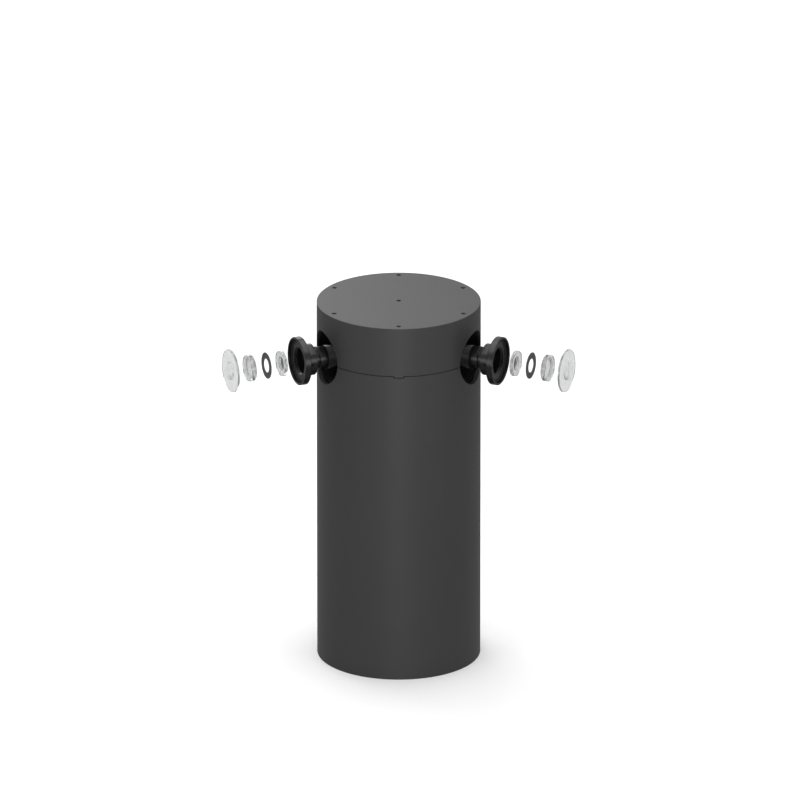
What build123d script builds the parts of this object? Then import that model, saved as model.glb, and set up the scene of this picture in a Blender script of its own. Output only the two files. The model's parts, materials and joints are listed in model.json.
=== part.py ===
"""Lit bollard post: a tube on an anchor base, a screwed head cap, and two side ports that each take a
stack of optics. The optics stand drawn out of their ports along the port axes at rest.

Millimetres, +Z up. The origin is on the post's axis at the ground, and the front of the post is -Y."""

from build123d import *
import math
import os

os.makedirs("parts", exist_ok=True)

# Post and head
post_diameter = 219.1
post_wall = 6.0
tube_foot_chamfer = 0.6
overall_height = 500.0
cap_height = 67.0
cap_wall = 5.0
cap_top_thickness = 8.0
cap_edge_chamfer = 0.7
seam_gap = 1.0
gasket_width = 3.5
gasket_setback = 1.6
key_width = 13.4
key_depth = 2.0
key_slope = 1.6

# Cap screws, M3 socket head
cap_screw_circle_inset = 10.3
cap_screw_count = 6
small_shank_radius = 1.5
small_head_radius = 2.75
small_head_height = 3.0
small_socket_width = 2.5
small_socket_depth = 1.6
cap_screw_length = 12.0
counterbore_clearance = 0.45
counterbore_spare_depth = 0.6
screw_hole_clearance = 0.3
thread_clearance = 0.05

# Ports
port_azimuth = 67.5
port_rise = 2.3
port_hole_radius = 36.4
housing_gap = 0.5
housing_wall = 2.4
housing_back_wall = 4.0
housing_depth = 40.0
housing_front_setback = 1.2
foot_height = 14.0
foot_width = 30.0
foot_length = 24.0
ear_width = 60.0
ear_thickness = 5.0
ear_screw_spacing = 46.0

# Lens barrel
flange_radius = 32.5
flange_thickness = 8.8
flange_edge_chamfer = 0.8
recess_radius = 29.6
recess_depth = 3.9
neck_radius = 21.3
neck_length = 13.3
relief_width = 6.2
relief_depth = 2.8
tail_radius = 16.0
tail_length = 31.5
tail_line_distance = 16.0
tail_line_depth = 0.5
tail_bore_radius = 11.0
lens_shoulder = 4.3
lens_bore_radius = 18.15
set_screw_radius = 1.6
set_screw_length = 2.0
set_screw_sink = 1.0
set_screw_distance = 5.4
set_screw_socket_width = 1.6
seal_radius = 0.9
flange_seat_setback = 0.1

# Optics
inner_lens_radius = 17.2
inner_lens_thickness = 5.0
inner_lens_cup_radius = 9.5
inner_lens_cup_depth = 2.6
inner_lens_dimple_radius = 5.0
inner_lens_dimple_depth = 1.0
spacer_radius = 17.8
spacer_bore_radius = 9.3
spacer_thickness = 0.8
outer_lens_radius = 17.8
outer_lens_thickness = 7.6
outer_lens_cup_radius = 14.0
outer_lens_cup_depth = 4.2
outer_lens_crown = 0.6
glass_radius = 29.0
glass_thickness = 3.0
dome_radius = 12.5
dome_height = 4.0
glass_gasket_width = 4.5
glass_gasket_thickness = 0.5
stack_gap = 0.25
lens_edge_chamfer = 0.3

# How far each piece stands drawn out of its fitted place
barrel_travel = 44.0
inner_lens_travel = 80.5
spacer_travel = 99.0
outer_lens_travel = 119.1
glass_travel = 140.0

# Lamp core
lamp_gap = 8.0
core_arm_width = 30.0
core_rise = 24.0
core_spine_width = 26.0
core_spine_depth = 34.0
fin_count = 7
fin_pitch = 8.0
fin_thickness = 2.4
fin_length = 26.0
board_width = 26.0
board_thickness = 1.6
board_screw_spacing = 19.0
emitter_base = 7.0
emitter_base_height = 1.2
emitter_dome_radius = 2.8
board_screw_length = 8.0
board_head_radius = 2.6
board_head_height = 1.8

# Deck, pillars and top carrier
deck_thickness = 6.0
deck_clearance = 0.6
cable_hole_radius = 12.0
lug_height = 20.0
lug_depth = 12.0
lug_width = 32.0
lug_azimuth = 30.0
weld_gap = 0.05
pillar_width = 10.0
pillar_circle_inset = 20.0
pillar_azimuths = (0.0, 120.0, 180.0, 240.0)
carrier_thickness = 6.0
carrier_clearance = 0.8
carrier_hole_radius = 16.0
carrier_hole_circle = 55.0
cap_seat_gap = 0.1
medium_shank_radius = 2.0
medium_head_radius = 3.5
medium_head_height = 4.0
medium_socket_width = 3.0
medium_socket_depth = 2.0
medium_screw_grip = 8.0
flat_head_radius = 4.0
flat_head_height = 2.2
tapped_spare_depth = 2.0

# Supply gear under the deck
driver_length = 92.0
driver_width = 46.0
driver_height = 30.0
driver_corner = 3.0
driver_offset = 8.0
driver_ear = 10.0
driver_ear_width = 15.0
driver_ear_thickness = 3.0
terminal_length = 62.0
terminal_fixing_spacing = 52.0
terminal_width = 20.0
terminal_height = 22.0
terminal_offset = 42.0
terminal_ways = 5
terminal_pitch = 9.0
terminal_wire_radius = 2.4
terminal_screw_radius = 2.2
terminal_wire_depth = 7.0
terminal_screw_depth = 5.5
gland_hex = 28.0
gland_hex_height = 5.0
gland_nut_height = 4.0
gland_dome_radius = 12.5
gland_dome_height = 12.0
gland_dome_taper = 12.0
gland_bore_radius = 4.5
gland_rim = 32.5
gland_azimuth = 137.0

# Anchor base
base_clearance = 0.3
base_thickness = 10.0
spigot_height = 45.0
spigot_wall = 8.0
cable_entry_radius = 30.0
anchor_circle_diameter = 150.0
anchor_hole_radius = 7.0
anchor_count = 4
anchor_first_angle = 45.0
grub_radius = 4.0
grub_length = 13.0
grub_height = 28.0
grub_angles = (15.0, 90.0, 165.0)
grub_setback = 0.6
grub_socket_width = 4.0
grub_socket_depth = 4.0
earth_stud_radius = 3.0
earth_stud_height = 22.0
earth_stud_distance = 58.0
earth_nut_width = 10.0
earth_nut_height = 5.0
earth_washer_radius = 6.0
earth_washer_height = 1.6

# Places worked out from the sizes above
post_radius = post_diameter / 2
tube_bore_radius = post_radius - post_wall
cap_bore_radius = post_radius - cap_wall
seam_top = overall_height - cap_height
tube_top = seam_top - seam_gap
port_height = (seam_top + tube_top) / 2 + port_rise
cap_ceiling = overall_height - cap_top_thickness
cap_screw_circle = post_radius - cap_screw_circle_inset
housing_radius = port_hole_radius - housing_gap
deck_top = port_height - housing_radius - foot_height
deck_bottom = deck_top - deck_thickness
carrier_top = cap_ceiling - cap_seat_gap
carrier_bottom = carrier_top - carrier_thickness
pillar_circle = post_radius - pillar_circle_inset

# Stations along a port axis, measured out from the post's axis, with the optics fitted
wall_station = math.sqrt(post_radius**2 - port_hole_radius**2)
fitted_flange_front = wall_station - flange_seat_setback
recess_floor = fitted_flange_front - recess_depth
flange_back = fitted_flange_front - flange_thickness
neck_end = flange_back - neck_length
tail_end = neck_end - tail_length
lens_shoulder_station = neck_end + lens_shoulder
inner_lens_back = lens_shoulder_station + stack_gap
spacer_back = inner_lens_back + inner_lens_thickness + stack_gap
outer_lens_back = spacer_back + spacer_thickness + stack_gap
glass_back = recess_floor + glass_gasket_thickness + stack_gap / 2
core_face = tail_end - lamp_gap
housing_front = wall_station - housing_front_setback
housing_back = housing_front - housing_depth
foot_station = (housing_front + housing_back) / 2

# The two ports: the direction each one faces, in degrees round +Z from +X
port_tilt = 90.0 - port_azimuth
port_angles = {"left": 180.0 + port_tilt, "right": -port_tilt}
port_direction = {}
port_axis = {}
port_section = {}
for side, angle in port_angles.items():
    outward = Vector(math.cos(math.radians(angle)), math.sin(math.radians(angle)), 0)
    centre = Vector(0, 0, port_height)
    port_direction[side] = outward
    port_axis[side] = Axis(centre, outward)
    port_section[side] = Plane(origin=centre, x_dir=outward, z_dir=outward.cross(Vector(0, 0, 1)))


def port_face(side, station):
    """Plane square to a port axis at a station, facing outwards, with its x level."""
    outward = port_direction[side]
    level = Vector(0, 0, 1).cross(outward)
    origin = Vector(0, 0, port_height) + outward * station
    return Plane(origin=origin, x_dir=level, z_dir=outward)


def front_azimuth(azimuth, radius):
    """Point on a circle, its azimuth counted from the front of the post towards -X."""
    turn = math.radians(azimuth)
    return (-radius * math.sin(turn), -radius * math.cos(turn))


# ---------------------------------------------------------------- post tube
with BuildPart() as post_tube:
    with BuildSketch(Plane.XY):
        Circle(post_radius)
        Circle(tube_bore_radius, mode=Mode.SUBTRACT)
    extrude(amount=tube_top)
    for side in port_angles:
        with BuildSketch(port_face(side, 0)):
            Circle(port_hole_radius)
        extrude(amount=post_radius + post_wall, mode=Mode.SUBTRACT)
    # Notch in the front of the rim for the cap's key, a seam's width larger all round
    with BuildSketch(Plane.XZ.offset(post_radius - 2 * post_wall)):
        with BuildLine():
            Polyline(
                (-key_width / 2 - seam_gap, tube_top),
                (-key_width / 2 - seam_gap + key_slope, tube_top - key_depth),
                (key_width / 2 + seam_gap - key_slope, tube_top - key_depth),
                (key_width / 2 + seam_gap, tube_top),
                close=True,
            )
        make_face()
    extrude(amount=3 * post_wall, mode=Mode.SUBTRACT)
    for turn in grub_angles:
        with BuildSketch(Plane(origin=(0, 0, grub_height), z_dir=Vector(1, 0, 0).rotate(Axis.Z, turn))):
            Circle(grub_radius + thread_clearance)
        extrude(amount=post_radius + post_wall, mode=Mode.SUBTRACT)
    foot_edges = post_tube.edges().filter_by(GeomType.CIRCLE).group_by(Axis.Z)[0]
    chamfer(foot_edges.sort_by(SortBy.RADIUS)[-1], tube_foot_chamfer)
post_tube.part.label = "post_tube"
export_step(post_tube.part, "parts/post_tube.step")

# ---------------------------------------------------------------- anchor base
base_radius = tube_bore_radius - base_clearance
with BuildPart() as anchor_base:
    with BuildSketch(Plane.XY):
        Circle(base_radius)
    extrude(amount=base_thickness)
    with BuildSketch(Plane.XY.offset(base_thickness)):
        Circle(base_radius)
        Circle(base_radius - spigot_wall, mode=Mode.SUBTRACT)
    extrude(amount=spigot_height - base_thickness)
    with Locations((0, 0, base_thickness)):
        Hole(cable_entry_radius, depth=base_thickness)
    with BuildSketch(Plane.XY):
        with PolarLocations(anchor_circle_diameter / 2, anchor_count, start_angle=anchor_first_angle):
            Circle(anchor_hole_radius)
    extrude(amount=base_thickness, mode=Mode.SUBTRACT)
    for turn in grub_angles:
        with BuildSketch(Plane(origin=(0, 0, grub_height), z_dir=Vector(1, 0, 0).rotate(Axis.Z, turn))):
            Circle(grub_radius + thread_clearance)
        extrude(amount=post_radius, mode=Mode.SUBTRACT)
    with BuildSketch(Plane.XY.offset(base_thickness)):
        with Locations((0, earth_stud_distance)):
            Circle(earth_stud_radius + thread_clearance)
    extrude(amount=-base_thickness / 2, mode=Mode.SUBTRACT)
anchor_base.part.label = "anchor_base"
export_step(anchor_base.part, "parts/anchor_base.step")

with BuildPart() as base_grub_screws:
    for turn in grub_angles:
        outward = Vector(1, 0, 0).rotate(Axis.Z, turn)
        grub_end = Vector(0, 0, grub_height) + outward * (post_radius - grub_setback)
        with BuildSketch(Plane(origin=grub_end, z_dir=outward)):
            Circle(grub_radius)
        extrude(amount=-grub_length)
        with BuildSketch(Plane(origin=grub_end, z_dir=outward)):
            RegularPolygon(grub_socket_width / 2, 6, major_radius=False)
        extrude(amount=-grub_socket_depth, mode=Mode.SUBTRACT)
base_grub_screws.part.label = "base_grub_screws"
export_step(base_grub_screws.part, "parts/base_grub_screws.step")

with BuildPart() as earth_stud:
    with BuildSketch(Plane.XY.offset(base_thickness / 2)):
        with Locations((0, earth_stud_distance)):
            Circle(earth_stud_radius)
    extrude(amount=base_thickness / 2 + earth_stud_height)
    with BuildSketch(Plane.XY.offset(base_thickness)):
        with Locations((0, earth_stud_distance)):
            Circle(earth_washer_radius)
    extrude(amount=earth_washer_height)
    with BuildSketch(Plane.XY.offset(base_thickness + earth_washer_height)):
        with Locations((0, earth_stud_distance)):
            RegularPolygon(earth_nut_width / 2, 6, major_radius=False)
    extrude(amount=earth_nut_height)
earth_stud.part.label = "earth_stud"
export_step(earth_stud.part, "parts/earth_stud.step")

# ---------------------------------------------------------------- head cap and its screws
key_bottom = tube_top - key_depth + seam_gap
with BuildPart() as head_cap:
    # Key that drops into the notch of the post's rim
    with BuildSketch(Plane.XZ.offset(cap_bore_radius - cap_wall)):
        with BuildLine():
            Polyline(
                (-key_width / 2, seam_top),
                (-key_width / 2 + key_slope, key_bottom),
                (key_width / 2 - key_slope, key_bottom),
                (key_width / 2, seam_top),
                close=True,
            )
        make_face()
    extrude(amount=3 * cap_wall)
    with BuildSketch(Plane.XY.offset(key_bottom)):
        Circle(post_radius)
        Circle(cap_bore_radius, mode=Mode.SUBTRACT)
    extrude(amount=seam_top - key_bottom, mode=Mode.INTERSECT)
    with BuildSketch(Plane.XY.offset(seam_top)):
        Circle(post_radius)
    extrude(amount=cap_height)
    chamfer(head_cap.edges().filter_by(GeomType.CIRCLE).group_by(Axis.Z)[-1], cap_edge_chamfer)
    with BuildSketch(Plane.XY.offset(seam_top)):
        Circle(cap_bore_radius)
    extrude(amount=cap_height - cap_top_thickness, mode=Mode.SUBTRACT)
    for side in port_angles:
        with BuildSketch(port_face(side, 0)):
            Circle(port_hole_radius)
        extrude(amount=post_radius + cap_wall, mode=Mode.SUBTRACT)
    with Locations((0, 0, overall_height)):
        with PolarLocations(cap_screw_circle, cap_screw_count, start_angle=90):
            CounterBoreHole(
                small_shank_radius + screw_hole_clearance,
                small_head_radius + counterbore_clearance,
                small_head_height + counterbore_spare_depth,
                depth=cap_top_thickness,
            )
        CounterBoreHole(
            small_shank_radius + screw_hole_clearance,
            small_head_radius + counterbore_clearance,
            small_head_height + counterbore_spare_depth,
            depth=cap_top_thickness,
        )
head_cap.part.label = "head_cap"
export_step(head_cap.part, "parts/head_cap.step")

small_seat = overall_height - small_head_height - counterbore_spare_depth
with BuildPart() as cap_screws:
    with BuildSketch(Plane.XY.offset(small_seat)):
        with PolarLocations(cap_screw_circle, cap_screw_count, start_angle=90):
            Circle(small_head_radius)
    extrude(amount=small_head_height)
    with BuildSketch(Plane.XY.offset(small_seat)):
        with PolarLocations(cap_screw_circle, cap_screw_count, start_angle=90):
            Circle(small_shank_radius)
    extrude(amount=-cap_screw_length)
    with BuildSketch(Plane.XY.offset(small_seat + small_head_height)):
        with PolarLocations(cap_screw_circle, cap_screw_count, start_angle=90):
            RegularPolygon(small_socket_width / 2, 6, major_radius=False)
    extrude(amount=-small_socket_depth, mode=Mode.SUBTRACT)
cap_screws.part.label = "cap_screws"
export_step(cap_screws.part, "parts/cap_screws.step")

with BuildPart() as centre_screw:
    with BuildSketch(Plane.XY.offset(small_seat)):
        Circle(small_head_radius)
    extrude(amount=small_head_height)
    with BuildSketch(Plane.XY.offset(small_seat)):
        Circle(small_shank_radius)
    extrude(amount=-cap_screw_length)
    with BuildSketch(Plane.XY.offset(small_seat + small_head_height)):
        RegularPolygon(small_socket_width / 2, 6, major_radius=False)
    extrude(amount=-small_socket_depth, mode=Mode.SUBTRACT)
centre_screw.part.label = "centre_screw"
export_step(centre_screw.part, "parts/centre_screw.step")

with BuildPart() as seam_gasket:
    with BuildSketch(Plane.XY.offset(tube_top)):
        Circle(post_radius - gasket_setback)
        Circle(post_radius - gasket_setback - gasket_width, mode=Mode.SUBTRACT)
        with Locations((0, -post_radius)):
            Rectangle(key_width + 2 * key_slope + 2 * seam_gap, 4 * gasket_width, mode=Mode.SUBTRACT)
    extrude(amount=seam_gap)
    for side in port_angles:
        with BuildSketch(port_face(side, 0)):
            Circle(port_hole_radius)
        extrude(amount=post_radius, mode=Mode.SUBTRACT)
seam_gasket.part.label = "seam_gasket"
export_step(seam_gasket.part, "parts/seam_gasket.step")

# ---------------------------------------------------------------- deck, pillars and top carrier
deck_radius = tube_bore_radius - deck_clearance
lug_azimuths = (lug_azimuth, 180 - lug_azimuth, 180 + lug_azimuth, 360 - lug_azimuth)
lug_circle = tube_bore_radius - lug_depth / 2
lug_points = [front_azimuth(azimuth, lug_circle) for azimuth in lug_azimuths]
pillar_points = [front_azimuth(azimuth, pillar_circle) for azimuth in pillar_azimuths]
ear_points = []
for side in port_angles:
    for across in (-ear_screw_spacing / 2, ear_screw_spacing / 2):
        ear_point = port_face(side, foot_station).from_local_coords(Vector(across, 0, 0))
        ear_points.append((ear_point.X, ear_point.Y))
driver_points = [(end * (driver_length + driver_ear) / 2, driver_offset) for end in (-1, 1)]
gland_circle = deck_radius - gland_rim
gland_points = [front_azimuth(azimuth, gland_circle) for azimuth in (gland_azimuth, 360 - gland_azimuth)]
terminal_points = [(end * terminal_fixing_spacing / 2, -terminal_offset) for end in (-1, 1)]

with BuildPart() as deck_lugs:
    with BuildSketch(Plane.XY.offset(deck_bottom - lug_height)):
        for azimuth, point in zip(lug_azimuths, lug_points):
            with Locations(point):
                Rectangle(lug_width, 3 * lug_depth, rotation=-azimuth)
        Circle(tube_bore_radius - weld_gap, mode=Mode.INTERSECT)
        Circle(tube_bore_radius - lug_depth, mode=Mode.SUBTRACT)
    extrude(amount=lug_height)
    with BuildSketch(Plane.XY.offset(deck_bottom)):
        with Locations(*lug_points):
            Circle(medium_shank_radius + thread_clearance)
    extrude(amount=-lug_height + tapped_spare_depth, mode=Mode.SUBTRACT)
deck_lugs.part.label = "deck_lugs"
export_step(deck_lugs.part, "parts/deck_lugs.step")

with BuildPart() as deck_plate:
    with BuildSketch(Plane.XY.offset(deck_bottom)):
        Circle(deck_radius)
        with Locations(*gland_points):
            Circle(cable_hole_radius, mode=Mode.SUBTRACT)
        with Locations(*lug_points, *pillar_points, *ear_points, *driver_points, *terminal_points):
            Circle(medium_shank_radius + thread_clearance, mode=Mode.SUBTRACT)
    extrude(amount=deck_thickness)
deck_plate.part.label = "deck_plate"
export_step(deck_plate.part, "parts/deck_plate.step")


def socket_screws(points, seat, length, upright=True):
    """Medium socket-head screws on a horizontal seat, their shanks running down, or up if not upright."""
    facing = Plane(origin=(0, 0, seat), z_dir=(0, 0, 1 if upright else -1), x_dir=(1, 0, 0))
    places = [(x, y if upright else -y) for x, y in points]
    with BuildPart() as screws:
        with BuildSketch(facing):
            with Locations(*places):
                Circle(medium_head_radius)
        extrude(amount=medium_head_height)
        with BuildSketch(facing):
            with Locations(*places):
                Circle(medium_shank_radius)
        extrude(amount=-length)
        with BuildSketch(facing.offset(medium_head_height)):
            with Locations(*places):
                RegularPolygon(medium_socket_width / 2, 6, major_radius=False)
        extrude(amount=-medium_socket_depth, mode=Mode.SUBTRACT)
    return screws.part


deck_screws = socket_screws(lug_points, deck_top, deck_thickness + medium_screw_grip)
deck_screws.label = "deck_screws"
export_step(deck_screws, "parts/deck_screws.step")

with BuildPart() as pillars:
    for azimuth, point in zip(pillar_azimuths, pillar_points):
        with BuildSketch(Plane.XY.offset(deck_top)):
            with Locations(point):
                RegularPolygon(pillar_width / 2, 6, major_radius=False, rotation=-azimuth)
        extrude(amount=carrier_bottom - deck_top)
    pillar_bore = medium_screw_grip + tapped_spare_depth
    with BuildSketch(Plane.XY.offset(deck_top)):
        with Locations(*pillar_points):
            Circle(medium_shank_radius + thread_clearance)
    extrude(amount=pillar_bore, mode=Mode.SUBTRACT)
    with BuildSketch(Plane.XY.offset(carrier_bottom)):
        with Locations(*pillar_points):
            Circle(medium_shank_radius + thread_clearance)
    extrude(amount=-pillar_bore, mode=Mode.SUBTRACT)
pillars.part.label = "pillars"
export_step(pillars.part, "parts/pillars.step")

pillar_screw_length = deck_thickness + medium_screw_grip
pillar_foot_screws = socket_screws(pillar_points, deck_bottom, pillar_screw_length, upright=False)
pillar_foot_screws.label = "pillar_foot_screws"
export_step(pillar_foot_screws, "parts/pillar_foot_screws.step")

carrier_radius = cap_bore_radius - carrier_clearance
between_screws = 360 / cap_screw_count
with BuildPart() as top_carrier:
    with BuildSketch(Plane.XY.offset(carrier_bottom)):
        Circle(carrier_radius)
        with PolarLocations(cap_screw_circle, cap_screw_count, start_angle=90):
            Circle(small_shank_radius + screw_hole_clearance, mode=Mode.SUBTRACT)
        Circle(small_shank_radius + screw_hole_clearance, mode=Mode.SUBTRACT)
        with PolarLocations(carrier_hole_circle, cap_screw_count, start_angle=90 + between_screws / 2):
            Circle(carrier_hole_radius, mode=Mode.SUBTRACT)
    extrude(amount=carrier_thickness)
    for point in pillar_points:
        with Locations((point[0], point[1], carrier_top)):
            CounterSinkHole(
                medium_shank_radius + thread_clearance,
                flat_head_radius + thread_clearance,
                depth=carrier_thickness,
            )
top_carrier.part.label = "top_carrier"
export_step(top_carrier.part, "parts/top_carrier.step")

with BuildPart() as carrier_screws:
    for x, y in pillar_points:
        with BuildSketch(Plane(origin=(x, y, carrier_top), x_dir=(1, 0, 0), z_dir=(0, -1, 0))):
            with BuildLine():
                Polyline(
                    (0, 0),
                    (flat_head_radius - thread_clearance, 0),
                    (medium_shank_radius, medium_shank_radius - flat_head_radius + thread_clearance),
                    (medium_shank_radius, -carrier_thickness - medium_screw_grip),
                    (0, -carrier_thickness - medium_screw_grip),
                    close=True,
                )
            make_face()
        revolve(axis=Axis((x, y, 0), (0, 0, 1)))
    with BuildSketch(Plane.XY.offset(carrier_top)):
        with Locations(*pillar_points):
            RegularPolygon(small_socket_width / 2, 6, major_radius=False)
    extrude(amount=-small_socket_depth, mode=Mode.SUBTRACT)
carrier_screws.part.label = "carrier_screws"
export_step(carrier_screws.part, "parts/carrier_screws.step")

# ---------------------------------------------------------------- port housings
for side in port_angles:
    foot_plane = port_face(side, foot_station)
    foot_origin = Vector(foot_plane.origin.X, foot_plane.origin.Y, deck_top)
    foot_sketch = Plane(origin=foot_origin, x_dir=foot_plane.x_dir, z_dir=(0, 0, 1))
    with BuildPart() as port_housing:
        with BuildSketch(foot_sketch):
            Rectangle(foot_width, foot_length)
        extrude(amount=foot_height + housing_radius)
        with BuildSketch(foot_sketch):
            Rectangle(ear_width, foot_length)
        extrude(amount=ear_thickness)
        with BuildSketch(foot_sketch):
            with Locations((-ear_screw_spacing / 2, 0), (ear_screw_spacing / 2, 0)):
                Circle(medium_shank_radius + thread_clearance)
        extrude(amount=ear_thickness, mode=Mode.SUBTRACT)
        with BuildSketch(port_face(side, housing_back)):
            Circle(housing_radius)
        extrude(amount=housing_depth)
        with BuildSketch(port_face(side, housing_back + housing_back_wall)):
            Circle(housing_radius - housing_wall)
        extrude(amount=housing_depth, mode=Mode.SUBTRACT)
        with BuildSketch(port_face(side, housing_back)):
            Circle(tail_radius + housing_gap)
        extrude(amount=housing_back_wall, mode=Mode.SUBTRACT)
    port_housing.part.label = "port_housing_" + side
    export_step(port_housing.part, "parts/port_housing_" + side + ".step")

housing_screws = socket_screws(ear_points, deck_top + ear_thickness, ear_thickness + deck_thickness)
housing_screws.label = "housing_screws"
export_step(housing_screws, "parts/housing_screws.step")

# ---------------------------------------------------------------- lamp core, boards and emitters
first_port = port_angles["left"]
between_ports = 180 - 2 * port_tilt
arm_end = core_face - board_thickness
with BuildPart() as lamp_core:
    with BuildSketch(Plane.XY.offset(deck_top)):
        with PolarLocations(arm_end / 2, 2, first_port, between_ports, endpoint=True):
            Rectangle(arm_end, core_arm_width)
        with Locations((0, core_spine_depth / 2)):
            Rectangle(core_spine_width, core_spine_depth)
        with Locations((0, core_spine_depth)):
            Rectangle((fin_count - 1) * fin_pitch + fin_thickness, 2 * fin_thickness)
        with Locations((0, core_spine_depth + fin_length / 2)):
            with GridLocations(fin_pitch, fin_length, fin_count, 1):
                Rectangle(fin_thickness, fin_length)
    extrude(amount=port_height - deck_top + core_rise)
    for side in port_angles:
        with BuildSketch(port_face(side, arm_end)):
            with GridLocations(board_screw_spacing, board_screw_spacing, 2, 2):
                Circle(small_shank_radius + thread_clearance)
        extrude(amount=-board_screw_length, mode=Mode.SUBTRACT)
lamp_core.part.label = "lamp_core"
export_step(lamp_core.part, "parts/lamp_core.step")

for side in port_angles:
    with BuildPart() as led_board:
        with BuildSketch(port_face(side, arm_end)):
            Rectangle(board_width, board_width)
            with GridLocations(board_screw_spacing, board_screw_spacing, 2, 2):
                Circle(small_shank_radius + thread_clearance, mode=Mode.SUBTRACT)
        extrude(amount=board_thickness)
    led_board.part.label = "led_board_" + side
    export_step(led_board.part, "parts/led_board_" + side + ".step")

    with BuildPart() as led_emitter:
        with BuildSketch(port_face(side, core_face)):
            Rectangle(emitter_base, emitter_base)
        extrude(amount=emitter_base_height)
        dome_base = core_face + emitter_base_height
        with BuildSketch(port_section[side]):
            with BuildLine():
                Line((dome_base, 0), (dome_base, emitter_dome_radius))
                CenterArc((dome_base, 0), emitter_dome_radius, 0, 90)
                Line((dome_base + emitter_dome_radius, 0), (dome_base, 0))
            make_face()
        revolve(axis=port_axis[side])
    led_emitter.part.label = "led_emitter_" + side
    export_step(led_emitter.part, "parts/led_emitter_" + side + ".step")

with BuildPart() as board_screws:
    for side in port_angles:
        with BuildSketch(port_face(side, core_face)):
            with GridLocations(board_screw_spacing, board_screw_spacing, 2, 2):
                Circle(board_head_radius)
        extrude(amount=board_head_height)
        with BuildSketch(port_face(side, core_face)):
            with GridLocations(board_screw_spacing, board_screw_spacing, 2, 2):
                Circle(small_shank_radius)
        extrude(amount=-board_screw_length)
board_screws.part.label = "board_screws"
export_step(board_screws.part, "parts/board_screws.step")

# ---------------------------------------------------------------- supply gear under the deck
with BuildPart() as led_driver:
    with BuildSketch(Plane.XY.offset(deck_bottom)):
        with Locations((0, driver_offset)):
            RectangleRounded(driver_length, driver_width, driver_corner)
    extrude(amount=-driver_height)
    with BuildSketch(Plane.XY.offset(deck_bottom)):
        with Locations((0, driver_offset)):
            Rectangle(driver_length + 2 * driver_ear, driver_ear_width)
    extrude(amount=-driver_ear_thickness)
    with BuildSketch(Plane.XY.offset(deck_bottom)):
        with Locations(*driver_points):
            Circle(medium_shank_radius + thread_clearance)
    extrude(amount=-driver_ear_thickness, mode=Mode.SUBTRACT)
led_driver.part.label = "led_driver"
export_step(led_driver.part, "parts/led_driver.step")

with BuildPart() as terminal_block:
    with BuildSketch(Plane.XY.offset(deck_bottom)):
        with Locations((0, -terminal_offset)):
            Rectangle(terminal_length, terminal_width)
    extrude(amount=-terminal_height)
    with BuildSketch(Plane.XZ.offset(terminal_offset + terminal_width / 2)):
        with Locations((0, deck_bottom - terminal_height / 2)):
            with GridLocations(terminal_pitch, terminal_pitch, terminal_ways, 1):
                Circle(terminal_wire_radius)
    extrude(amount=-terminal_wire_depth, mode=Mode.SUBTRACT)
    with BuildSketch(Plane.XY.offset(deck_bottom - terminal_height)):
        with Locations((0, -terminal_offset)):
            with GridLocations(terminal_pitch, terminal_pitch, terminal_ways, 1):
                Circle(terminal_screw_radius)
    extrude(amount=terminal_screw_depth, mode=Mode.SUBTRACT)
    with BuildSketch(Plane.XY.offset(deck_bottom)):
        with Locations(*terminal_points):
            Circle(medium_shank_radius + thread_clearance)
    extrude(amount=-terminal_height, mode=Mode.SUBTRACT)
terminal_block.part.label = "terminal_block"
export_step(terminal_block.part, "parts/terminal_block.step")

driver_seat = deck_bottom - driver_ear_thickness
driver_screws = socket_screws(driver_points, driver_seat, deck_top - driver_seat, upright=False)
driver_screws.label = "driver_screws"
export_step(driver_screws, "parts/driver_screws.step")

terminal_seat = deck_bottom - terminal_height
terminal_screws = socket_screws(terminal_points, terminal_seat, deck_top - terminal_seat, upright=False)
terminal_screws.label = "terminal_screws"
export_step(terminal_screws, "parts/terminal_screws.step")

with BuildPart() as cable_glands:
    with BuildSketch(Plane.XY.offset(deck_bottom)):
        with Locations(*gland_points):
            RegularPolygon(gland_hex / 2, 6, major_radius=False)
    extrude(amount=-gland_hex_height)
    with BuildSketch(Plane.XY.offset(deck_bottom - gland_hex_height)):
        with Locations(*gland_points):
            Circle(gland_dome_radius)
    extrude(amount=-gland_dome_height, taper=gland_dome_taper)
    with BuildSketch(Plane.XY.offset(deck_bottom)):
        with Locations(*gland_points):
            Circle(cable_hole_radius - thread_clearance)
    extrude(amount=deck_thickness + gland_nut_height)
    with BuildSketch(Plane.XY.offset(deck_top)):
        with Locations(*gland_points):
            RegularPolygon(gland_hex / 2, 6, major_radius=False)
    extrude(amount=gland_nut_height)
    with BuildSketch(Plane.XY.offset(deck_top + gland_nut_height)):
        with Locations(*gland_points):
            Circle(gland_bore_radius)
    gland_length = gland_nut_height + deck_thickness + gland_hex_height + gland_dome_height
    extrude(amount=-gland_length, mode=Mode.SUBTRACT)
cable_glands.part.label = "cable_glands"
export_step(cable_glands.part, "parts/cable_glands.step")


# ---------------------------------------------------------------- optics
def arc_middle(edge_station, edge_radius, apex_station):
    """Middle point of the round arc from a lens face's edge to its apex on the axis."""
    sagitta = apex_station - edge_station
    arc_radius = (edge_radius**2 + sagitta**2) / (2 * abs(sagitta))
    centre_station = apex_station - math.copysign(arc_radius, sagitta)
    half_angle = math.asin(edge_radius / arc_radius) / 2
    reach = math.copysign(arc_radius, sagitta) * math.cos(half_angle)
    return (centre_station + reach, arc_radius * math.sin(half_angle))


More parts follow.
